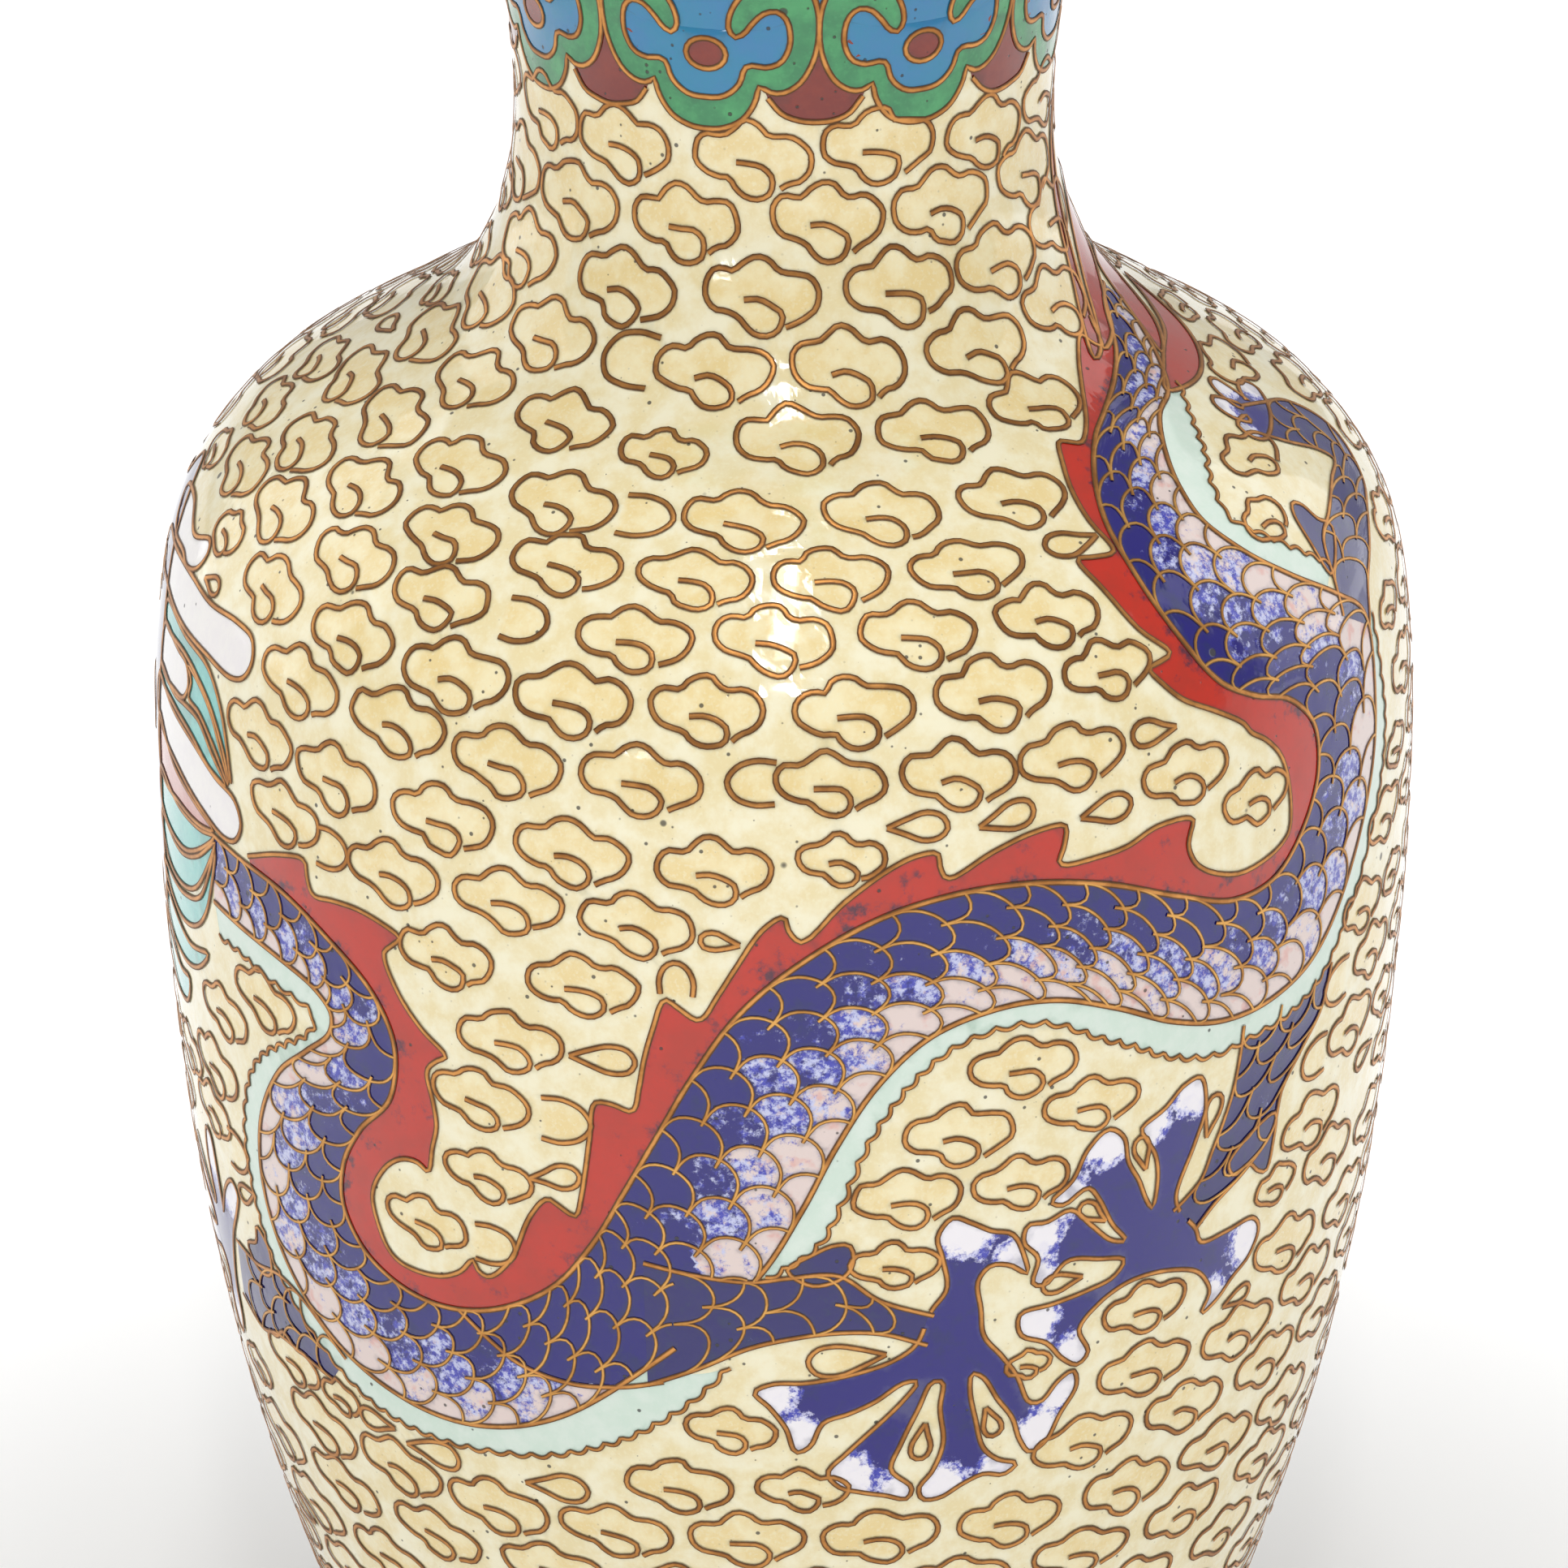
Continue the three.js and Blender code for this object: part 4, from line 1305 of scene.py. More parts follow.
@dataclass
class Strip:
    """A ribbon of enamel between two edges, given by pairs of places."""

    pairs: tuple
    step: float = 0.4
    divisions: int = 32
    arcs: list = field(default_factory=list)

    def __post_init__(self) -> None:
        """Draws both edges, and divides the ribbon evenly along its middle."""
        fine = [through(np.array([pair[k] for pair in self.pairs], float), 16) for k in (0, 1)]
        middle = (fine[0] + fine[1]) / 2
        sizes = np.linalg.norm(WALL.steps(middle), axis=1)
        run = np.concatenate([[0.0], np.cumsum(sizes)])
        self.length = float(run[-1])
        self.run = np.linspace(0, self.length, int(round(self.length / self.step)) + 1)
        self.edges = [np.stack([np.interp(self.run, run, e[:, k]) for k in (0, 1)], 1) for e in fine]
        scaled = (self.edges[1] - self.edges[0]) * np.stack([
            WALL.degree(middle[:, 1].mean()) * np.ones(len(self.run)), np.ones(len(self.run))], 1)
        self.width = np.linalg.norm(scaled, axis=1)

    def place(self, along: np.ndarray, across: np.ndarray) -> np.ndarray:
        """Finds places on the ribbon.

        Args:
            along: Lengths along it, in millimetres.
            across: 0 at the first edge and 1 at the second.
        Returns:
            The places.
        """
        ends = [np.stack([np.interp(along, self.run, e[:, k]) for k in (0, 1)], 1) for e in self.edges]
        share = np.asarray(across)[:, None]
        return ends[0] * (1 - share) + ends[1] * share

    def plan(self, draw: random.Random, size: float = 4.7, least: int = 3, start: float = 0.4,
             end: float = 1.0) -> None:
        """Plans the scales: columns of arcs that point to the far end, each half a scale aside of the last.

        Args:
            draw: The seeded draws.
            size: A scale's width, in millimetres, before it is fitted to the ribbon.
            least: The fewest half scales across.
            start: Where the first column stands, in millimetres.
            end: How much of the length they cover.
        """
        along, column = start, 0
        while along < self.length * end - 0.8:
            wide = float(np.interp(along, self.run, self.width))
            half = 1 / max(least, round(2 * wide / size))
            pitch = max(wide * half, 0.8)
            centre = 0.0 if column % 2 else half
            while centre < 1 + half * 0.6:
                reach = pitch * draw.uniform(1.14, 1.3)
                start = along + draw.uniform(-0.15, 0.15)
                self.arcs.append((start, centre, half, reach, draw.uniform(-1, 1)))
                centre += 2 * half
            along += pitch
            column += 1

    def tone(self, along: np.ndarray, across: np.ndarray, low: float, high: float) -> np.ndarray:
        """Gives each place the tone of the scale that shows there: the first whose arc lies beyond it.

        Args:
            along, across: The places on the ribbon.
            low, high: The tone at the first edge and at the second.
        Returns:
            The tones.
        """
        found = low + (high - low) * across
        for start, centre, half, reach, lot in reversed(self.arcs):
            aside = np.abs(across - centre) / half
            tip = start + np.clip(1 - aside**2, 0, 1) ** 0.33 * reach
            hit = (aside < 1) & (along < tip) & (along > start - 3 * reach)
            part = (along[hit] - start) / reach
            found[hit] = low + (high - low) * min(centre, 1.0) + 0.13 * lot + 0.09 * part
        return found

    def mesh(self, name: str, finish: Finish, slot: str, *nodes: str, depth: float = Level.FIELD.value,
             low: float = 0.0, high: float = 1.0, calm: tuple = ()) -> None:
        """Adds the ribbon's field.

        Args:
            name, finish, slot, nodes: As for any field.
            depth: How deep it lies.
            low, high: The tone at the first edge and at the second.
            calm: Loops within which the tone stays low.
        """
        count, lines = len(self.run), self.divisions + 1
        along = np.repeat(self.run, lines)
        across = np.tile(np.linspace(0, 1, lines), count)
        spots = self.place(along, across)
        first = np.arange((count - 1) * lines).reshape(-1, lines)[:, :-1].ravel()
        faces = np.stack([first, first + 1, first + lines + 1, first + lines], 1).tolist()
        if not turns_left(spots.tolist(), faces[len(faces) // 2]):
            faces = [face[::-1] for face in faces]
        tone = self.tone(along, across, low, high)
        for loop in calm:
            tone[inside(spots[:, 0], spots[:, 1], np.array(loop, float))] *= 0.25
        FIELDS.sheet(spots, faces, depth, tone, name, finish, slot, nodes)
        CANVAS.take(self.outline())

    def outline(self) -> np.ndarray:
        """Returns the ribbon's closed outline."""
        return np.vstack([self.edges[0], self.edges[1][::-1]])

    def scales(self, kit: str, under: bool = False, width: float = 0.31) -> None:
        """Lays the planned arcs.

        Args:
            kit: The wires' piece.
            under: Whether the limbs hide them.
            width: The wires' width.
        """
        turn = np.radians(np.linspace(-90, 90, 13))
        lay = WIRES.run_under if under else WIRES.run
        for start, centre, half, reach, _ in self.arcs:
            across = centre + np.sin(turn) * half
            along = start + np.cos(turn) ** 0.66 * reach
            keep = (across > -0.01) & (across < 1.01) & (along < self.length)
            if keep.sum() > 3:
                path = self.place(along[keep], np.clip(across[keep], 0, 1))
                lay(kit, WALL.divide(path, 0.5), width)

    def wire_edges(self, kit: str, under: bool = False, width: float = 0.5) -> None:
        """Lays a wire along both edges."""
        for edge in self.edges:
            (WIRES.run_under if under else WIRES.run)(kit, WALL.divide(edge, 0.5), width)


def outlined(points: tuple, name: str, finish: Finish, slot: str, *nodes: str, kit: str = "dragon_outlines",
             depth: float = Level.FIELD.value, round_: bool = True, width: float = 0.5,
             tone: "object | None" = None, keep: float = 0.0, ajar: bool = False) -> np.ndarray:
    """Adds a field with its wire all round.

    Args:
        points: The outline's places.
        name, finish, slot, nodes: As for any field.
        kit: The wire's piece.
        depth: How deep it lies.
        round_: Whether the outline is smooth.
        width: The wire's width.
        tone: What gives each place its tone.
        keep: How far the clouds keep away beyond the wire, in millimetres.
        ajar: Whether the wire stays open between its last place and its first.
    Returns:
        The outline.
    """
    if round_:
        line = WALL.smooth(points, 0.5, True)
    else:
        line = WALL.divide(np.array([*points, points[0]], float), 0.5, True)
    WIRES.run(kit, line[:-2] if ajar else line, width, not ajar)
    FIELDS.loop(line, name, finish, slot, *nodes, depth=depth, tone=tone)
    CANVAS.take(line)
    CANVAS.take_line(np.vstack([line, line[:1]]), 1.0 + keep)
    return line


@dataclass
class Trunk:
    """The dragon's body with its fin and its frill."""

    # The back's place and the belly's, from the neck to the tip of the tail
    stations: tuple = (
        ((-61.8, 119.9), (-61.8, 114.2)), ((-58, 119.7), (-57.5, 113.9)), ((-50, 119), (-50.5, 113.2)),
        ((-44, 117), (-45.6, 112.1)), ((-38.5, 113.8), (-43.6, 110.6)), ((-36.2, 110), (-43.9, 108.9)),
        ((-37, 105.2), (-47.4, 106.2)), ((-41, 101.3), (-52, 102.8)), ((-43.5, 97.5), (-56, 97)),
        ((-44, 94), (-56.8, 91)), ((-42, 90.7), (-54.5, 85.5)), ((-38, 88.6), (-48.5, 80.5)),
        ((-33, 87.9), (-40, 77.7)), ((-27, 89), (-31, 77.3)), ((-21, 92.2), (-22, 79.8)), ((-17, 96.7),
        (-12.5, 86)), ((-14, 101.5), (-2.5, 94.5)), ((-11, 106.5), (1.5, 100.5)), ((-8, 111.5),
        (4.5, 106)), ((-4, 116.9), (8, 111)), ((1, 121), (12.5, 114.7)), ((8, 124.6), (18.5, 116.4)),
        ((15, 126.1), (24, 116.3)), ((22, 126.1), (30, 114.5)), ((29, 124.8), (36, 112)), ((36, 122.4),
        (42, 110.5)), ((43, 120.3), (48.5, 110.5)), ((48.5, 120.8), (55, 112.3)), ((52.5, 123.8),
        (61, 117.5)), ((54.8, 127.5), (65.5, 124.5)), ((54.8, 131), (67.3, 132)), ((51.5, 134.1),
        (67, 136.5)), ((46.5, 135.8), (63, 139.3)), ((42.5, 138), (57, 142.8)), ((39.7, 142),
        (52.5, 146.3)), ((38, 147), (50.3, 149.8)), ((38.3, 152), (51.5, 153.2)), ((41, 156),
        (55, 156.5)), ((46, 159.5), (60, 159)), ((52, 161.5), (66, 160)), ((60, 163.5), (72, 162)),
        ((68, 165.5), (76, 163.5)), ((76, 168), (80, 165)), ((83, 168.8), (85, 167)),
    )
    # The fin's hooked edge
    fin: tuple = (
        (-55, 120.3), (-50, 122), (-46.5, 122.5), (-46.2, 121.2), (-45.5, 120), (-43, 120.2),
        (-40, 120.3), (-37, 119.8), (-35.2, 119.1), (-36.2, 118.2), (-37, 117.4), (-35.5, 114.5),
        (-33, 112), (-30.6, 110.3), (-31.6, 109.7), (-32.7, 108.6), (-32.2, 106), (-32, 104),
        (-32.6, 102), (-33.2, 99.8), (-34.3, 100.3), (-36, 100.2), (-38, 99), (-40, 96), (-39.5, 93.2),
        (-38.5, 91.4), (-37, 90.6), (-33, 90.6), (-30.5, 91.6), (-29, 93), (-28.6, 92.2), (-27.5, 91.8),
        (-25, 94), (-23, 98), (-21.2, 99.9), (-20.2, 99.5), (-18.6, 98.8), (-18, 100.5), (-17.5, 103),
        (-17, 106), (-16.5, 108.8), (-15, 108.9), (-13.1, 108.5), (-12.5, 110.5), (-12, 113),
        (-11.2, 115.6), (-10.2, 118), (-9, 117.4), (-7.2, 116.5), (-5.6, 118.6), (-4, 121), (-1.8, 124),
        (0, 125), (0.4, 123.9), (1.5, 123), (5, 126), (9, 128.5), (11.5, 129.4), (13.2, 129.4),
        (13.4, 128.3), (14, 127.4), (18, 129), (22, 130.1), (24.9, 130.1), (24.7, 128.6), (24.2, 127.3),
        (28, 127.2), (31, 127.5), (34, 128.4), (38, 128.1), (37.6, 127), (37.4, 126), (38.5, 124.2),
        (43, 122.4), (47, 122.6), (49, 123.2), (50.1, 124), (50.3, 127), (49.5, 130), (47.5, 132),
        (45.6, 133.1), (44.8, 134), (41.5, 135.8), (38, 137.5), (36.3, 139), (35.2, 140.4), (36.6, 140.7),
        (38, 141.1), (35.5, 143.5), (33.6, 147), (32.3, 150), (34.6, 149.9), (37.1, 150), (36.6, 153),
        (37.2, 156), (38.6, 158.4), (40.4, 160.4), (42, 160.1), (43.6, 159.7), (46, 160.6), (52, 164),
        (57, 166.3), (62, 167.6), (63, 166.6), (64.5, 166), (68, 168.3),
    )
    fin_stations: tuple = (1.4, 41.0)
    frills: tuple = (
        ("dragon_front_frill", 0.0, 15.0, ((-61, 111.5), (-57, 111.5), (-53, 110.9), (-49, 110.5),
        (-46.4, 110), (-45.9, 109), (-47.5, 107.4), (-50.5, 105.8), (-54, 103.8), (-56.5, 101.5),
        (-58.4, 98.4), (-59.4, 95), (-59.3, 91), (-58.4, 87.3), (-56.6, 84), (-53.6, 81), (-50.2, 78.7),
        (-46.2, 76.6), (-42, 75.3), (-37.5, 74.8), (-33, 74.8), (-28, 75.3), (-23, 76.1), (-18, 77.7),
        (-14, 79.5), (-10, 82), (-7.2, 84.3), (-5, 86.6))), ("dragon_middle_frill", 16.0, 31.6,
        ((-1.5, 94.6), (3, 97.5), (5, 101), (7.5, 106.5), (11, 111), (15, 113.8), (20, 114.8),
        (24, 114.3), (28, 112.5), (32, 110.8), (36, 109), (41, 107.8), (46, 108), (51, 108.3),
        (56, 109.8), (60, 113), (64, 117), (67.5, 122), (69.2, 127), (69, 132), (68.6, 136))),
        ("dragon_rear_frill", 32.2, 39.4, ((64, 141.5), (61, 143.5), (56, 147), (54, 149), (56, 152),
        (60, 154.5), (65, 157.6), (70, 160.0))),
    )
    # The thigh that swells from the body, and its lower line
    thigh: tuple = (
        (-31, 88), (-28, 86), (-25, 84.4), (-20, 83.5), (-15, 83.9), (-11, 84.8), (-6, 90), (-9, 99),
        (-18, 95), (-27, 91),
    )
    ruffle: tuple[float, float] = (1.75, 0.42)

    def build(self) -> None:
        """Lays the body, its scales, the fin and the frills."""
        draw = random.Random(11)
        body = Strip(self.stations)
        body.plan(draw)
        body.mesh("dragon_body", Finish.SKIN, "cobalt_enamel", "dragon_body", low=0.05, high=0.95,
                  calm=(self.thigh,))
        body.scales("dragon_scale_wires", True)
        body.wire_edges("dragon_outlines", True)
        WIRES.run("dragon_outlines", WALL.smooth(self.thigh[:6], 0.5), 0.46)
        self.lay_fin()
        for name, start, end, outer in self.frills:
            self.lay_frill(name, start, end, outer)

    def edge(self, side: int, start: float, end: float) -> np.ndarray:
        """Gives a stretch of the back or the belly.

        Args:
            side: 0 for the back and 1 for the belly.
            start, end: Station numbers, which may lie between two.
        Returns:
            Its places.
        """
        line = through(np.array([pair[side] for pair in self.stations], float), 16)
        marks = np.arange(len(line)) / 16
        return line[(marks >= start) & (marks <= end)]

    def lay_fin(self) -> None:
        """Lays the red fin along the back."""
        back = self.edge(0, *self.fin_stations)
        outer = through(np.array(self.fin, float), 4)
        loop = WALL.divide(np.vstack([outer, back[::-1], outer[:1]]), 0.5, True)
        def tone(spots: np.ndarray) -> np.ndarray:
            """Gives 1 at the back, fading over a few millimetres."""
            way = spots[:, None, :] - back[None, ::4, :]
            far = np.hypot(way[:, :, 0] * WALL.degree(110), way[:, :, 1]).min(1)
            return np.exp(-far / 1.3)
        FIELDS.loop(loop, "dragon_fin", Finish.FIN, "red_enamel", "dragon_fin",
            depth=Level.FIELD.value + 0.01,
                    tone=tone, grid=0.9)
        WIRES.run("dragon_outlines", WALL.divide(outer, 0.45), 0.46)
        CANVAS.take(loop)
        CANVAS.take_line(WALL.divide(outer, 0.8), 1.2)

    def lay_frill(self, name: str, start: float, end: float, outer: tuple) -> None:
        """Lays one stretch of the frill, with its ruffled wire.

        Args:
            name: The piece's name.
            start, end: The stations that it runs between.
            outer: Its outer edge before it is ruffled.
        """
        belly = self.edge(1, start, end)
        line = WALL.smooth(outer, 0.22)
        run = np.arange(len(line)) * 0.22
        wave = np.abs(np.sin(run * math.pi / self.ruffle[0] + 0.7 * np.sin(run * 0.31)))
        line = WALL.beside(line, (wave - 0.5) * -self.ruffle[1])
        loop = np.vstack([line[::2], belly[::-2]])
        FIELDS.loop(loop, name, Finish.FRILL, "pale_enamel", name, depth=Level.FIELD.value + 0.015)
        WIRES.run_under("dragon_outlines", line, 0.4)
        CANVAS.take(loop)
        CANVAS.take_line(line[::4], 1.3)


@dataclass
class Limbs:
    """The dragon's legs and paws."""

    # Name, whether it lies over the body, and its two sides from the body to the paw
    legs: tuple = (
        ("dragon_front_right_leg", True, (((-12.5, 95.4), (-12.5, 84.4)), ((-8, 94.7), (-8, 86.2)),
        ((-3, 94.3), (-3, 88.4)), ((0.5, 94.7), (1.5, 89.4)), ((4.8, 94.8), (5, 89.7)), ((8.5, 92.4),
        (8.8, 89.4)), ((13.5, 90.6), (13, 88)))), ("dragon_rear_left_leg", False, (((44.6, 109.3),
        (57.9, 110.4)), ((44.4, 107), (56.6, 107)), ((43.8, 104), (53.6, 104.4)), ((42.8, 101.5),
        (50.9, 101.8)), ((41.6, 99.2), (50.0, 98.6)), ((40.6, 97.2), (46.6, 96.3)), ((38.9, 96),
        (42.6, 94.4)), ((37.4, 95.2), (40.4, 92.8)))), ("dragon_rear_right_leg", True, (((62.6, 137.6),
        (67.6, 135.2)), ((63.2, 139.9), (69.5, 138)), ((65, 143.2), (73.5, 140)), ((69.5, 144.6),
        (78, 141.8)), ((75, 145.9), (83, 143.4)), ((79.3, 146.5), (86.5, 147)), ((78, 148),
        (84.5, 151.5)), ((74.3, 150.4), (79.5, 153.6)), ((71.8, 152.4), (75, 155)))),
        ("dragon_front_left_leg", False, (((-46.6, 78.8), (-49.5, 75.9)), ((-52, 82.2), (-54.5, 76.5)),
        ((-56, 83.2), (-58.8, 76.6)), ((-61, 82.4), (-63.2, 75.6)), ((-66, 82.6), (-67.5, 77)))),
    )
    spurs: tuple = (
        ((0.3, 95.4), (2.4, 96.7), (4.4, 97.5), (5.8, 97.4), (6.1, 96), (5.3, 94.7), (2.5, 94)),
        ((50.1, 100), (50.2, 97.2), (49.6, 95.1), (48.3, 95.5), (46.8, 96.6), (44.8, 96.2), (44, 97.6)),
        ((63.1, 141), (62.8, 144), (63.3, 146.3), (64.5, 147.1), (65.8, 146.5), (66.6, 144.9),
        (68.2, 143.8), (66, 142)), ((-58, 82.6), (-57.6, 85), (-59.6, 86.4), (-60.2, 84.8), (-62.6, 83.6),
        (-61, 82)),
    )
    # The two paws that show: outline, claw tips, and claws' reach in millimetres
    centre_paw: tuple = (
        (13.2, 91.0), (14.6, 92.9), (14.1, 95.7), (13.6, 97.6), (14.9, 99.1), (16.8, 98.4), (18.6, 97.5),
        (20.6, 96.9), (21.8, 94.8), (22.2, 93.2), (20.4, 94.2), (18.6, 94.4), (17.5, 93.2), (17.9, 90.6),
        (18.3, 88.2), (20.2, 86), (21.9, 83.8), (23.3, 81.2), (24.6, 81.0), (26.2, 82.6), (27.7, 83.2),
        (28.2, 81.7), (26.7, 79.3), (25.5, 77), (23.9, 76.3), (22.7, 77.7), (21.7, 80), (20.1, 82),
        (18.5, 84.3), (17.4, 84.8), (17.3, 83.2), (18, 80.5), (19, 77.6), (20.6, 76.2), (22.6, 75.4),
        (21.4, 74.6), (19.3, 75), (17.3, 74.4), (15, 73.3), (13.3, 73.4), (12.9, 74.5), (14.1, 76),
        (15, 78.6), (14.5, 82), (14.6, 84.4), (13.6, 84.5), (12.4, 82.1), (10.9, 78.9), (10.1, 76.6),
        (12.2, 74.6), (11.8, 73.6), (9.6, 74.1), (7.2, 74.6), (5.2, 75.2), (4.1, 76.6), (5.8, 78.4),
        (7.7, 80.1), (10.8, 82.9), (12.2, 84.7), (10.9, 84.7), (8.4, 83.2), (6, 82.2), (3.6, 81.4),
        (2.4, 79.2), (1.1, 78.7), (0.2, 80.9), (-1.3, 82.9), (-2.7, 84.3), (-1.1, 85.1), (1.9, 85.2),
        (6, 85.8), (10, 86.9), (12, 88.2),
    )
    centre_claws: tuple = (
        ((16.2, 98.6), 3.2), ((21.6, 94.4), 2.4), ((26.6, 82.2), 2.4), ((24.8, 77.6), 2.6), ((20.8, 75.2),
        2.0), ((14.5, 74.3), 2.6), ((11, 74.4), 1.8), ((5.2, 76.0), 3.0), ((1.2, 79.8), 2.4), ((-2, 84.2),
        2.8),
    )
    right_paw: tuple = (
        (38.2, 95.0), (37.6, 96.6), (39.4, 100.7), (40.4, 103.4), (39.6, 106.3), (37.6, 106.1),
        (35.6, 104.7), (33.1, 103.5), (33.6, 102.6), (34.9, 100.7), (35.3, 98.4), (34.9, 96.2),
        (34.1, 97.2), (33.2, 99), (31.9, 101), (31.3, 103.2), (29.6, 104.3), (27.6, 103.0), (26.2, 100.6),
        (24.2, 99.1), (25.4, 98.6), (27.8, 99.6), (29, 98.4), (30.6, 95.8), (32.2, 94), (30.6, 94.4),
        (28.4, 96.2), (26.2, 98), (23.8, 97.4), (22, 97.4), (21.7, 96), (23.2, 94.3), (22.8, 92.2),
        (24, 91.8), (26.1, 93.5), (29.4, 93), (32.2, 92.2), (31.2, 91), (28.6, 90.4), (25, 89.9),
        (21.7, 89.5), (21.9, 87.7), (24.6, 86.4), (26.4, 84.6), (28.1, 83.7), (29.1, 84.6), (27.9, 87),
        (29.8, 88.9), (32.4, 90), (35, 90.2), (38, 89.8), (41, 88.8), (42.4, 87.6), (43.2, 86.2),
        (42.4, 84.5), (44.4, 85.2), (46.2, 86.6), (48.4, 87.9), (49.4, 90), (48.3, 91.3), (44.6, 91.3),
        (41.2, 91.4), (40.4, 92.8),
    )
    right_claws: tuple = (
        ((39.4, 105.6), 2.6), ((34, 103.6), 2.0), ((29.4, 103.9), 2.9), ((25, 99.4), 2.4), ((22.6, 96.6),
        2.6), ((23, 92.4), 2.0), ((22.4, 88.6), 2.8), ((27.8, 84.4), 2.6), ((43.2, 85.4), 2.2),
        ((48.9, 89.6), 3.2),
    )
    # The two that show only from the sides: palm, toe tips
    side_paws: tuple = (
        ("dragon_front_left_paw", (-70, 80.5), ((-64, 88.5), (-70.5, 91), (-79, 87), (-80.5, 78.5),
        (-72.5, 71.5))), ("dragon_rear_right_paw", (75.5, 153), ((69.6, 153.4), (71.3, 156.8),
        (76.5, 158), (82.5, 155.4))),
    )

    def build(self) -> None:
        """Lays every leg and every paw."""
        draw = random.Random(23)
        for name, over, pairs in self.legs:
            leg = Strip(pairs, divisions=20)
            leg.plan(draw, least=2, start=2.2 if over else 0.4, end=0.88)
            depth = Level.INSET.value if over else Level.FIELD.value + 0.022
            leg.mesh(name, Finish.LEG, "cobalt_enamel", name, depth=depth, low=0.05, high=0.2)
            leg.scales("dragon_leg_wires")
            leg.wire_edges("dragon_outlines", width=0.44)
            for edge in leg.edges:
                CANVAS.take_line(edge[::2], 1.2)
            if over:
                WIRES.covers.append(np.vstack([leg.edges[0][6:], leg.edges[1][:5:-1]]))
        owners = [row[0] for row in self.legs]
        for owner, points in zip(owners, self.spurs):
            outlined(points, owner, Finish.LEG, "cobalt_enamel", owner,
                     depth=Level.INSET.value - 0.004, width=0.42)
        self.paw("dragon_front_right_paw", self.centre_paw, self.centre_claws, True)
        self.paw("dragon_rear_left_paw", self.right_paw, self.right_claws, True)
        for name, palm, toes in self.side_paws:
            self.paw(name, *self.spread(palm, toes))

    def paw(self, name: str, points: tuple, claws: tuple, ajar: bool = False) -> None:
        """Lays one paw: cobalt that feathers out to white at the claws.

        Args:
            name: The piece's name.
            points: Its outline.
            claws: Each claw's tip, and how far its white reaches in millimetres.
            ajar: Whether its wire stays open towards the leg.
        """
        def tone(spots: np.ndarray) -> np.ndarray:
            """Gives each place's tone by its nearest claw."""
            found = np.zeros(len(spots))
            for (angle, along), reach in claws:
                x = (spots[:, 0] - angle) * WALL.degree(along)
                far = np.hypot(x, spots[:, 1] - along) / reach
                found = np.maximum(found, np.clip(1.5 - far * 0.95, 0, 1.1))
            return found
        outlined(points, name, Finish.CLAW, "cobalt_enamel", name, depth=Level.INSET.value - 0.008, tone=tone,
                 width=0.46, ajar=ajar)

    # A toe's outline: share of its length, and mm aside
    toe = ((0.35, -1.1), (0.75, -1.2), (0.97, -0.9), (1.0, 0.3), (0.75, 1.2), (0.35, 1.1))

    def spread(self, palm: tuple[float, float], toes: tuple) -> tuple[tuple, tuple]:
        """Draws a paw of five toes.

        Args:
            palm: The palm's middle.
            toes: The toes' tips.
        Returns:
            The outline and the claws.
        """
        scale = float(WALL.degree(palm[1]))
        ways = [((t[0] - palm[0]) * scale, t[1] - palm[1]) for t in toes]
        ways.sort(key=lambda way: math.atan2(way[1], way[0]))
        outline, claws = [], []
        for x, y in ways:
            size = math.hypot(x, y)
            ux, uy = x / size, y / size
            for along, aside in self.toe:
                px, py = x * along - uy * aside, y * along + ux * aside
                outline.append((palm[0] + px / scale, palm[1] + py))
            claws.append(((palm[0] + x / scale, palm[1] + y), size * 0.45))
        return tuple(outline), tuple(claws)


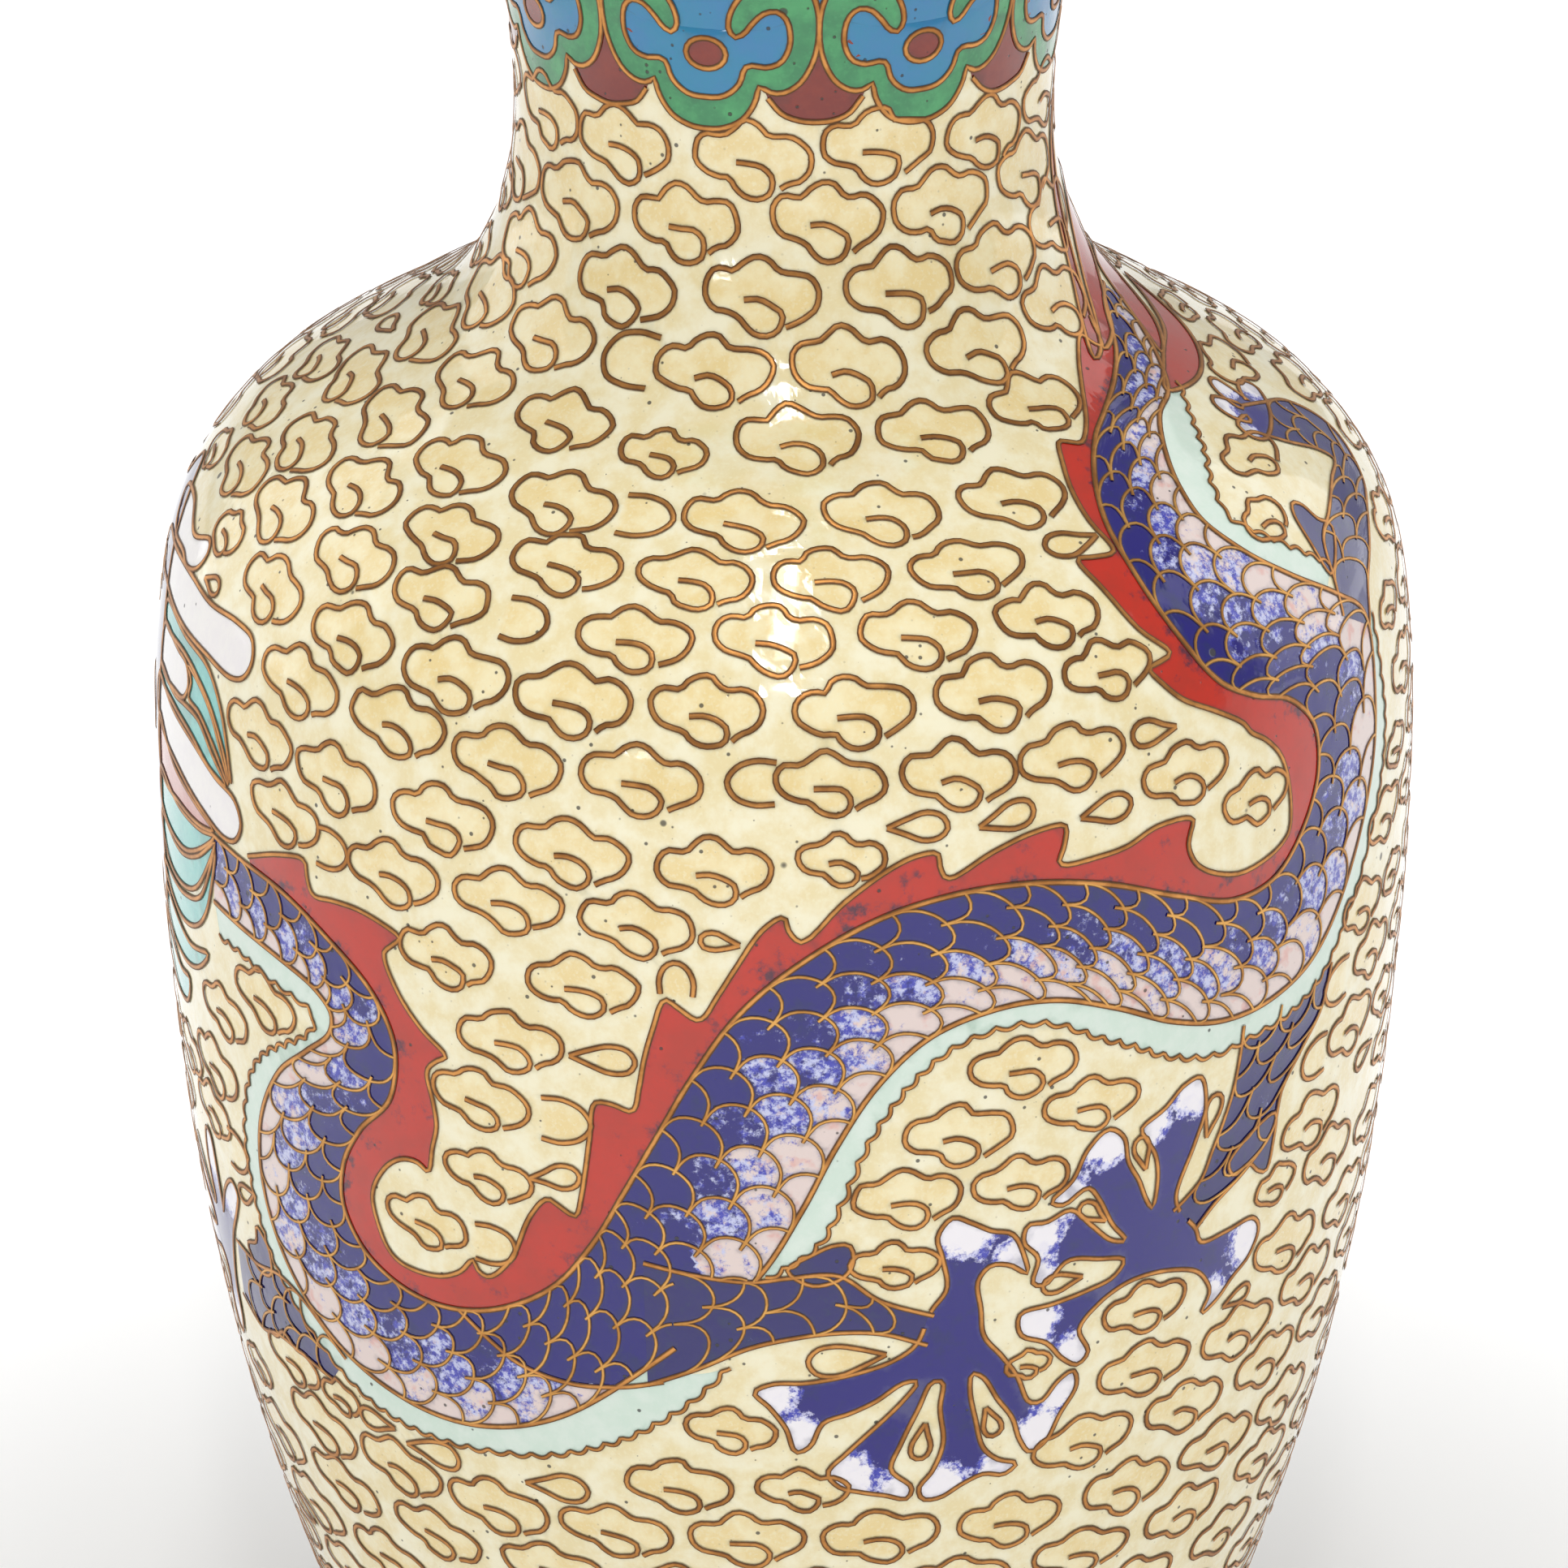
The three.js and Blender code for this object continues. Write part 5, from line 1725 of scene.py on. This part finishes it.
@dataclass
class Head:
    """The dragon's head with its horns, mane and beard, the tail's flame, and the pearl."""

    horns: tuple = (
        ("dragon_upper_horn", ((-56.1, 135.9), (-56.8, 137.4), (-60, 137.9), (-66, 137.6), (-72, 137.9),
        (-80, 137.6), (-88, 136.6), (-88, 134.8), (-80, 134.4), (-72, 133.9), (-65, 133.8), (-59, 133.6),
        (-56.9, 134.4))), ("dragon_lower_horn", ((-56.1, 122.6), (-57.2, 124.2), (-61, 124.9), (-66, 126),
        (-72, 126.6), (-80, 127), (-80, 124.4), (-70, 122.4), (-64, 121.2), (-59, 120.4), (-57, 121))),
    )
    tufts: tuple = (
        ((-70.6, 140.3), (-71.5, 141.2), (-76, 140.2), (-82, 141.5), (-88, 140.5), (-84, 138.2),
        (-77, 138.3), (-74.6, 137.9), (-71.5, 138.8)), ((-68.3, 130), (-69.2, 131.4), (-72, 131.7),
        (-79, 131.5), (-79, 128.6), (-72, 128.3), (-69.3, 128.7)),
    )
    lobes: tuple = (
        ((-79, 133.5), (-70, 133.4), (-64, 132.9), (-61, 131), (-59, 128.2), (-57.9, 125.3),
        (-59.6, 127.6), (-62.5, 130), (-66, 131.4), (-70, 132.1), (-79, 132.2)), ((-68.8, 131.5),
        (-65.5, 131), (-62.3, 129.5), (-59.9, 127.2), (-58.2, 125.1), (-61.5, 127.3), (-65, 128.8),
        (-68, 129.2), (-67.6, 130.6)), ((-79, 128.2), (-72, 128.0), (-68.6, 128.3), (-65, 128.2),
        (-61.8, 126.6), (-58.8, 124.9), (-62, 125.2), (-66.5, 126.5), (-72, 127.1), (-79, 127.5)),
    )
    wisps: tuple = (
        ((-61.3, 119.8), (-64.5, 119.3), (-70, 119.1), (-79, 119.4), (-79, 117.0), (-70, 115.9),
        (-65.5, 117.2)), ((-61.2, 119.3), (-65.3, 116.8), (-70, 115.4), (-79, 115.6), (-76, 113),
        (-70, 112.6), (-65.5, 114.2)), ((-61.2, 118.7), (-64.8, 113.6), (-70, 111.9), (-79, 111.6),
        (-72, 109.4), (-66.5, 110.4), (-63.4, 113)), ((-64, 108.8), (-69, 107.9), (-79, 109.2),
        (-79, 107), (-72, 105.6), (-67, 106.6)), ((-70.5, 104.2), (-74, 104), (-82, 106.4), (-82, 104),
        (-77, 101.4), (-72, 101.8)),
    )
    skull: tuple = (
        (-79, 108), (-79, 122), (-80, 134), (-84, 140), (-90, 143), (-94, 139.6), (-99, 139),
        (-104, 136.5), (-110, 137), (-115, 138.4), (-119, 135.6), (-118, 131.6), (-113, 129.4),
        (-107, 128.6), (-101.5, 126.6), (-104, 123), (-109, 120.6), (-114, 119.4), (-115.5, 115.6),
        (-111, 112.6), (-103, 113), (-96, 113.4), (-88, 108.6),
    )
    pearl: tuple[float, float, float] = (-142.0, 124.0, 6.0)

    def build(self) -> None:
        """Lays everything about the head, and the flame and the pearl."""
        for name, points in self.horns:
            outlined(points, name, Finish.WHITE, "white_enamel", name)
        for points in self.tufts:
            outlined(points, "dragon_brows", Finish.WHITE, "white_enamel")
        for points in self.lobes:
            outlined(points, "dragon_mane", Finish.TEAL, "teal_enamel", "dragon_mane")
        outlined(((-79, 124), (-72, 122.1), (-66, 121.2), (-61.5, 120.3), (-64, 119.7), (-70, 119.5),
                  (-79, 119.8)),
                 "dragon_nape", Finish.ROSE, "red_enamel")
        for points in self.wisps:
            outlined(points, "dragon_beard", Finish.TEAL, "teal_enamel", "dragon_beard")
        outlined(self.skull, "dragon_head", Finish.LEG, "cobalt_enamel", "dragon_head",
                 depth=Level.INSET.value)
        self.face()
        self.lay_flame()
        self.lay_pearl()

    def face(self) -> None:
        """Lays the eye, the cheek, the tongue, the teeth and the whiskers."""
        top = Level.INSET.value - 0.02
        eye = WALL.placed(ring(2.1, 1.6), (-96.5, 133.2))
        outlined(eye, "dragon_eye", Finish.WHITE, "white_enamel", depth=top)
        outlined(WALL.placed(ring(0.8, 0.8), (-97.3, 133.2)), "dragon_pupil", Finish.LEG, "cobalt_enamel",
                 depth=top - 0.01)
        outlined(WALL.placed(ring(3.0, 2.6), (-87.5, 122.5)), "dragon_cheek", Finish.ROSE, "red_enamel",
                 depth=top)
        outlined(((-100.5, 125.4), (-106, 122.6), (-112, 123.2), (-119, 121.6), (-112, 121.4),
                  (-106, 120.2), (-99, 122)),
                 "dragon_tongue", Finish.FIN, "red_enamel", depth=top)
        for i in range(4):
            foot = (-104.5 - 3.2 * i, 127.6 + 0.5 * i)
            outlined(((foot[0] - 1.1, foot[1]), (foot[0] + 1.1, foot[1]), (foot[0], foot[1] - 2.4)),
                     "dragon_teeth", Finish.WHITE, "white_enamel", depth=top, round_=False, width=0.3)
        for bend in (((-116, 137), (-122, 140), (-127, 137.5), (-132, 139)),
                     ((-115, 134), (-122, 131.5), (-128, 133), (-133, 130))):
            WIRES.run("dragon_outlines", WALL.smooth(bend, 0.5), 0.5)
            CANVAS.take_line(WALL.smooth(bend, 1.0), 1.6)
        for k in range(3):
            curl = WALL.placed(ring(2.2 + 1.5 * k, 2.0 + 1.4 * k)[2:9], (-87.5, 130.5))
            WIRES.run("dragon_leg_wires", WALL.smooth(curl, 0.5), 0.36)

    def lay_flame(self) -> None:
        """Lays the tongues of the tail's flame."""
        tongues = (
            ((66, 160.2), (74, 159.0), (83, 159.6), (92, 161.8), (101, 165.6), (92, 164.2), (84, 162.9),
            (75, 162.2)), ((75, 162.4), (84, 163.5), (92, 165.6), (105, 169.5), (96, 170), (88, 169.6),
            (85.5, 167.6), (80, 164.9)), ((64, 165.8), (70, 166.2), (77, 168), (84, 169.6), (92, 171.4),
            (105, 177), (94, 177.2), (86, 175.6), (80.5, 173.4), (76.5, 171.4), (70, 168.2)),
            ((60, 165.6), (64.6, 166.2), (69, 168.4), (72.8, 170.8), (75.6, 173), (78, 176), (81, 180.6),
            (83, 184.6), (78.5, 181.4), (74.5, 176.4), (70.5, 171.8)),
        )
        for i, points in enumerate(tongues):
            outlined(points, "dragon_tail_flame", Finish.FLAME, "red_enamel", "dragon_tail_flame",
                     depth=Level.FIELD.value - 0.004 * i)

    def lay_pearl(self) -> None:
        """Lays the pearl with its flames."""
        angle, along, radius = self.pearl
        for i in range(5):
            a = math.radians(-30 + 62 * i)
            root = (math.cos(a) * radius, math.sin(a) * radius)
            tip = (math.cos(a + 0.35) * radius * 1.9, math.sin(a + 0.35) * radius * 1.9)
            side = (-math.sin(a) * 1.9, math.cos(a) * 1.9)
            shape = np.array([(root[0] * 0.8 - side[0], root[1] * 0.8 - side[1]), tip,
                              (root[0] * 0.9 + side[0] * 0.7, root[1] * 0.9 + side[1] * 0.7)])
            outlined(WALL.placed(shape, (angle, along)), "pearl_flames", Finish.FLAME, "red_enamel",
                     round_=False)
        outlined(WALL.placed(ring(radius, radius), (angle, along)), "flaming_pearl", Finish.WHITE,
            "white_enamel",
                 "flaming_pearl", depth=Level.INSET.value)
        swirl = [(math.cos(0.7 * k) * radius * k / 11, math.sin(0.7 * k) * radius * k / 11)
                 for k in range(1, 10)]
        WIRES.run("dragon_outlines", WALL.smooth(WALL.placed(np.array(swirl), (angle, along)), 0.5), 0.4)


def ring(wide: float, high: float, count: int = 14) -> np.ndarray:
    """Gives the points of an oval, in millimetres."""
    turn = np.linspace(0, 2 * math.pi, count, endpoint=False)
    return np.stack([wide * np.cos(turn), high * np.sin(turn)], 1)


# ---------------------------------------------------------------- collar, neck and foot


@dataclass
class Collar:
    """The cloud collar: green heads with blue hearts and red spots, and red petals between them."""

    heads: int = 8
    first: float = -16.0
    outer: tuple = (
        (0, 187.7), (4, 187.9), (7.8, 188.7), (10.2, 190.1), (11.1, 191.3), (12.6, 190.9), (16, 190.9),
        (19.8, 192.1), (22.1, 194.4), (22.3, 197), (20.6, 199.2), (16.5, 200.3), (11.5, 199.9),
        (7.5, 198.5), (5.5, 197), (5.2, 196), (6.3, 195.3), (8.2, 195.6),
    )
    inner: tuple = (
        (9.8, 196.4), (12.2, 197.3), (15, 197.4), (16.8, 196.5), (17.2, 194.9), (15.8, 193.5),
        (12.8, 192.9), (9.4, 193.0), (8.1, 192.7), (7.2, 191.6), (4.2, 190.5),
    )
    petal: tuple = (
        (-10.8, 192.2), (-9.6, 190.3), (-7, 189.1), (-3.5, 188.6), (0, 188.4), (3.5, 188.6), (7, 189.1),
        (9.6, 190.3), (10.8, 192.2), (4, 195.8), (-4, 195.8),
    )

    def build(self) -> None:
        """Lays every head and petal."""
        draw = random.Random(5)
        for i in range(self.heads):
            middle = self.first + i * 360 / self.heads
            self.lay_petal(i + 1, middle + 180 / self.heads, draw)
        for i in range(self.heads):
            self.lay_head(i + 1, self.first + i * 360 / self.heads, draw)

    def lay_petal(self, number: int, middle: float, draw: random.Random) -> None:
        """Lays one red petal."""
        points = [(middle + x * draw.uniform(0.97, 1.03), y + draw.uniform(-0.1, 0.1)) for x, y in self.petal]
        name = f"collar_petal_{number}"
        FIELDS.loop(WALL.smooth(points, 0.5, True), name, Finish.PETAL, "red_enamel", name)
        WIRES.run("collar_wires", WALL.smooth(points[1:8], 0.5), 0.48)

    def lay_head(self, number: int, middle: float, draw: random.Random) -> None:
        """Lays one head: its heart, its green scroll and its spot.

        Args:
            number: Its number round the neck.
            middle: The angle of its middle.
            draw: The seeded draws.
        """
        sway = [draw.uniform(-0.4, 0.4) for _ in range(4)]
        right = [(middle + x + sway[0] * (x > 12), y) for x, y in self.outer]
        left = [(middle - x + sway[1] * (x > 12), y) for x, y in self.outer[1:]]
        right_in = [(middle + x + sway[2] * (x > 12), y) for x, y in self.inner]
        left_in = [(middle - x + sway[3] * (x > 12), y) for x, y in self.inner]
        bottom = [(middle, 190.25)]
        heart = [*right_in[3:], *bottom, *left_in[:2:-1]]
        line = WALL.smooth(heart, 0.5)
        FIELDS.loop(line, "collar_hearts", Finish.BLUE, "blue_enamel",
                    depth=Level.FIELD.value - 0.005)
        loop = [*right, *right_in, *bottom, *left_in[::-1], *left[::-1]]
        name = f"collar_head_{number}"
        outlined(loop, name, Finish.GREEN, "green_enamel", name, kit="collar_wires", depth=Level.INSET.value)
        spot = WALL.placed(ring(1.55, 1.25), (middle + sway[0], 193.8))
        name = f"collar_spot_{number}"
        outlined(spot, name, Finish.PETAL, "red_enamel", name, kit="collar_wires", depth=Level.INSET.value)
        CANVAS.take(np.array([(middle - 23, 190), (middle + 23, 190), (middle + 23, 202),
                              (middle - 23, 202)]))


@dataclass
class Borders:
    """The patterns above the collar and round the foot."""

    lip_lappets: int = 16
    foot_lappets: int = 18

    def build(self) -> None:
        """Lays the lip's lappets, the neck's scrolls, the body's lower lappets and the foot's scrolls."""
        for i in range(self.lip_lappets):
            middle = (i + 0.5) * 360 / self.lip_lappets
            half = 168 / self.lip_lappets
            points = (
                (-half, 215.2), (half, 215.2), (half * 0.92, 212), (half * 0.5, 209), (0, 206.8),
                (-half * 0.5, 209), (-half * 0.92, 212)
            )
            finish, slot = ((Finish.GREEN, "green_enamel"), (Finish.PETAL, "red_enamel"))[i % 2]
            outlined([(middle + x, y) for x, y in points], f"lip_lappets_{'green' if i % 2 == 0 else 'red'}",
                     finish, slot, kit="border_wires")
        hook = np.array(Clouds.HOOK) * 0.72
        for i in range(24):
            path = WALL.placed(hook, (i * 15 + 3, 203.7), 180 * (i % 2))
            WIRES.run("border_wires", WALL.smooth(path, 0.4), 0.42)
        for i in range(self.foot_lappets):
            middle = i * 360 / self.foot_lappets
            half = 172 / self.foot_lappets
            points = ((-half, 17.6), (half, 17.6), (half, 21), (half * 0.72, 25), (0, 29.4),
                      (-half * 0.72, 25), (-half, 21))
            finish, slot = ((Finish.BLUE, "blue_enamel"), (Finish.PETAL, "red_enamel"))[i % 2]
            outlined([(middle + x, y) for x, y in points], f"foot_lappets_{'blue' if i % 2 == 0 else 'red'}",
                     finish, slot, kit="border_wires")
            heart = [(middle + x * 0.5, 18.8 + (y - 17.6) * 0.62) for x, y in points]
            outlined(heart, "foot_lappet_hearts", Finish.GREEN, "green_enamel", kit="border_wires",
                     depth=Level.INSET.value, width=0.4)
        for i in range(26):
            shape = np.array(Clouds.SMALL) * 0.95
            path = WALL.placed(shape, (i * 360 / 26, 10.6 + (1.4 if i % 2 else -1.4)), 0)
            WIRES.run("border_wires", WALL.smooth(path, 0.45), 0.44)


@dataclass
class Metalwork:
    """The bare brass rings, and the enamel inside the vase and under it."""

    rim: tuple[float, float] = (1.58, 2.05)
    foot_radius: float = 31.0
    foot_width: float = 3.4
    foot_height: float = 3.4
    floor: float = 9.7
    lining: tuple[float, float] = (2.55, 3.0)

    def build(self) -> None:
        """Builds the rings and the linings."""
        self.rim_ring()
        self.foot_ring()
        self.linings()

    def closed(self, name: str, profile: list, finish: Finish, slot: str, *nodes: str) -> bpy.types.Object:
        """Spins a closed profile and turns its faces outwards."""
        piece = Turned(name, [*profile, profile[0]], 192).spin()
        bpy.ops.object.mode_set(mode="EDIT")
        bpy.ops.mesh.select_all(action="SELECT")
        bpy.ops.mesh.normals_make_consistent(inside=False)
        bpy.ops.object.mode_set(mode="OBJECT")
        bpy.ops.object.shade_smooth_by_angle(angle=math.radians(40))
        return dress(piece, finish, slot, *nodes)

    def rim_ring(self) -> None:
        """Builds the bead that closes the lip."""
        end = np.array([WALL.length - 2.0])
        r, z = WALL.profile(end, 1.5)
        slope = np.interp(end, WALL.s, WALL.dr)[0], np.interp(end, WALL.s, WALL.dz)[0]
        size = math.hypot(*slope)
        tr, tz = slope[0] / size, slope[1] / size
        along, across = self.rim
        bead = []
        for k in range(24):
            turn = k * math.pi / 12
            out, side = along + 0.3 + along * math.sin(turn), across * math.cos(turn)
            bead.append((float(r[0]) + tr * out + tz * side, float(z[0]) + tz * out - tr * side))
        self.closed("mouth_rim", bead, Finish.BRASS, "gilt_brass", "mouth_rim_ring")

    def foot_ring(self) -> None:
        """Builds the flat band that the vase stands on, with its edges broken."""
        r, w, h, e = self.foot_radius, self.foot_width, self.foot_height, 0.5
        arc = [(math.cos(a), math.sin(a)) for a in (math.radians(k * 22.5) for k in range(5))]
        low = [(r - e + e * math.sin(math.acos(c)), e - e * c) for c, _ in arc]
        profile = [(r - w + e, 0.0), *low, (r, h - 0.6), (r - 0.3, h - 0.15), (r - 0.7, h), (r - w, h),
                   (r - w, e)]
        self.closed("foot_rim", profile, Finish.BRASS, "gilt_brass", "foot_rim_ring")

    def linings(self) -> None:
        """Builds the counter-enamel: the wall, the floor and the underside."""
        outer, inner = self.lining
        for name, start, end in (("body_lining", 10.9, 171.85), ("neck_lining", 172.15, WALL.length - 2.0)):
            along = np.linspace(start, end, int((end - start) / 1.2))
            r1, z1 = WALL.profile(along, outer)
            r2, z2 = WALL.profile(along[::-1], inner)
            profile = list(zip(np.concatenate([r1, r2]).tolist(), np.concatenate([z1, z2]).tolist()))
            self.closed(name, profile, Finish.LINING, "lining_enamel", name)
        low, high = self.floor, self.floor + 0.5
        disc = [(0.0, low), (24.7, low), (24.7, high - 0.1), (24.5, high), (16.0, high - 0.05),
                (0.0, high - 0.1)]
        self.disc("floor_lining", disc, "floor_lining")
        top, thick = 8.1, 0.5
        under = [
            (0.0, top - thick), (24.9, top - thick), (25.6, top - thick - 0.5), (26.6, 4.9), (27.4, 4.9),
            (26.5, top - 0.3), (26.3, top), (0.0, top)
        ]
        self.disc("underside_enamel", under, "underside_enamel")

    def disc(self, name: str, profile: list, node: str) -> None:
        """Spins a profile that starts and ends on the axis."""
        piece = Turned(name, profile, 128).spin()
        bpy.ops.object.mode_set(mode="EDIT")
        bpy.ops.mesh.select_all(action="SELECT")
        bpy.ops.mesh.normals_make_consistent(inside=False)
        bpy.ops.object.mode_set(mode="OBJECT")
        bpy.ops.object.shade_smooth_by_angle(angle=math.radians(40))
        dress(piece, Finish.LINING, "lining_enamel", node)


def main() -> None:
    """Builds the vase and its studio."""
    logging.basicConfig(level=logging.INFO, format="%(name)s: %(message)s")
    Studio().build()
    Collar().build()
    Limbs().build()
    Trunk().build()
    Head().build()
    Borders().build()
    clouds = Clouds()
    clouds.lay()
    LOG.info("%d cloud cells", len(clouds.cells))
    FIELDS.make()
    Ground(clouds).build()
    Metalwork().build()
    WIRES.make({"dragon_scale_wires": Finish.FINE_WIRE, "dragon_leg_wires": Finish.FINE_WIRE})
    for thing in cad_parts.values():
        if not thing.hide_render:
            thing.data.materials.clear()
            thing.data.materials.append(Finish.COPPER.get())


if __name__ == "__main__":
    main()
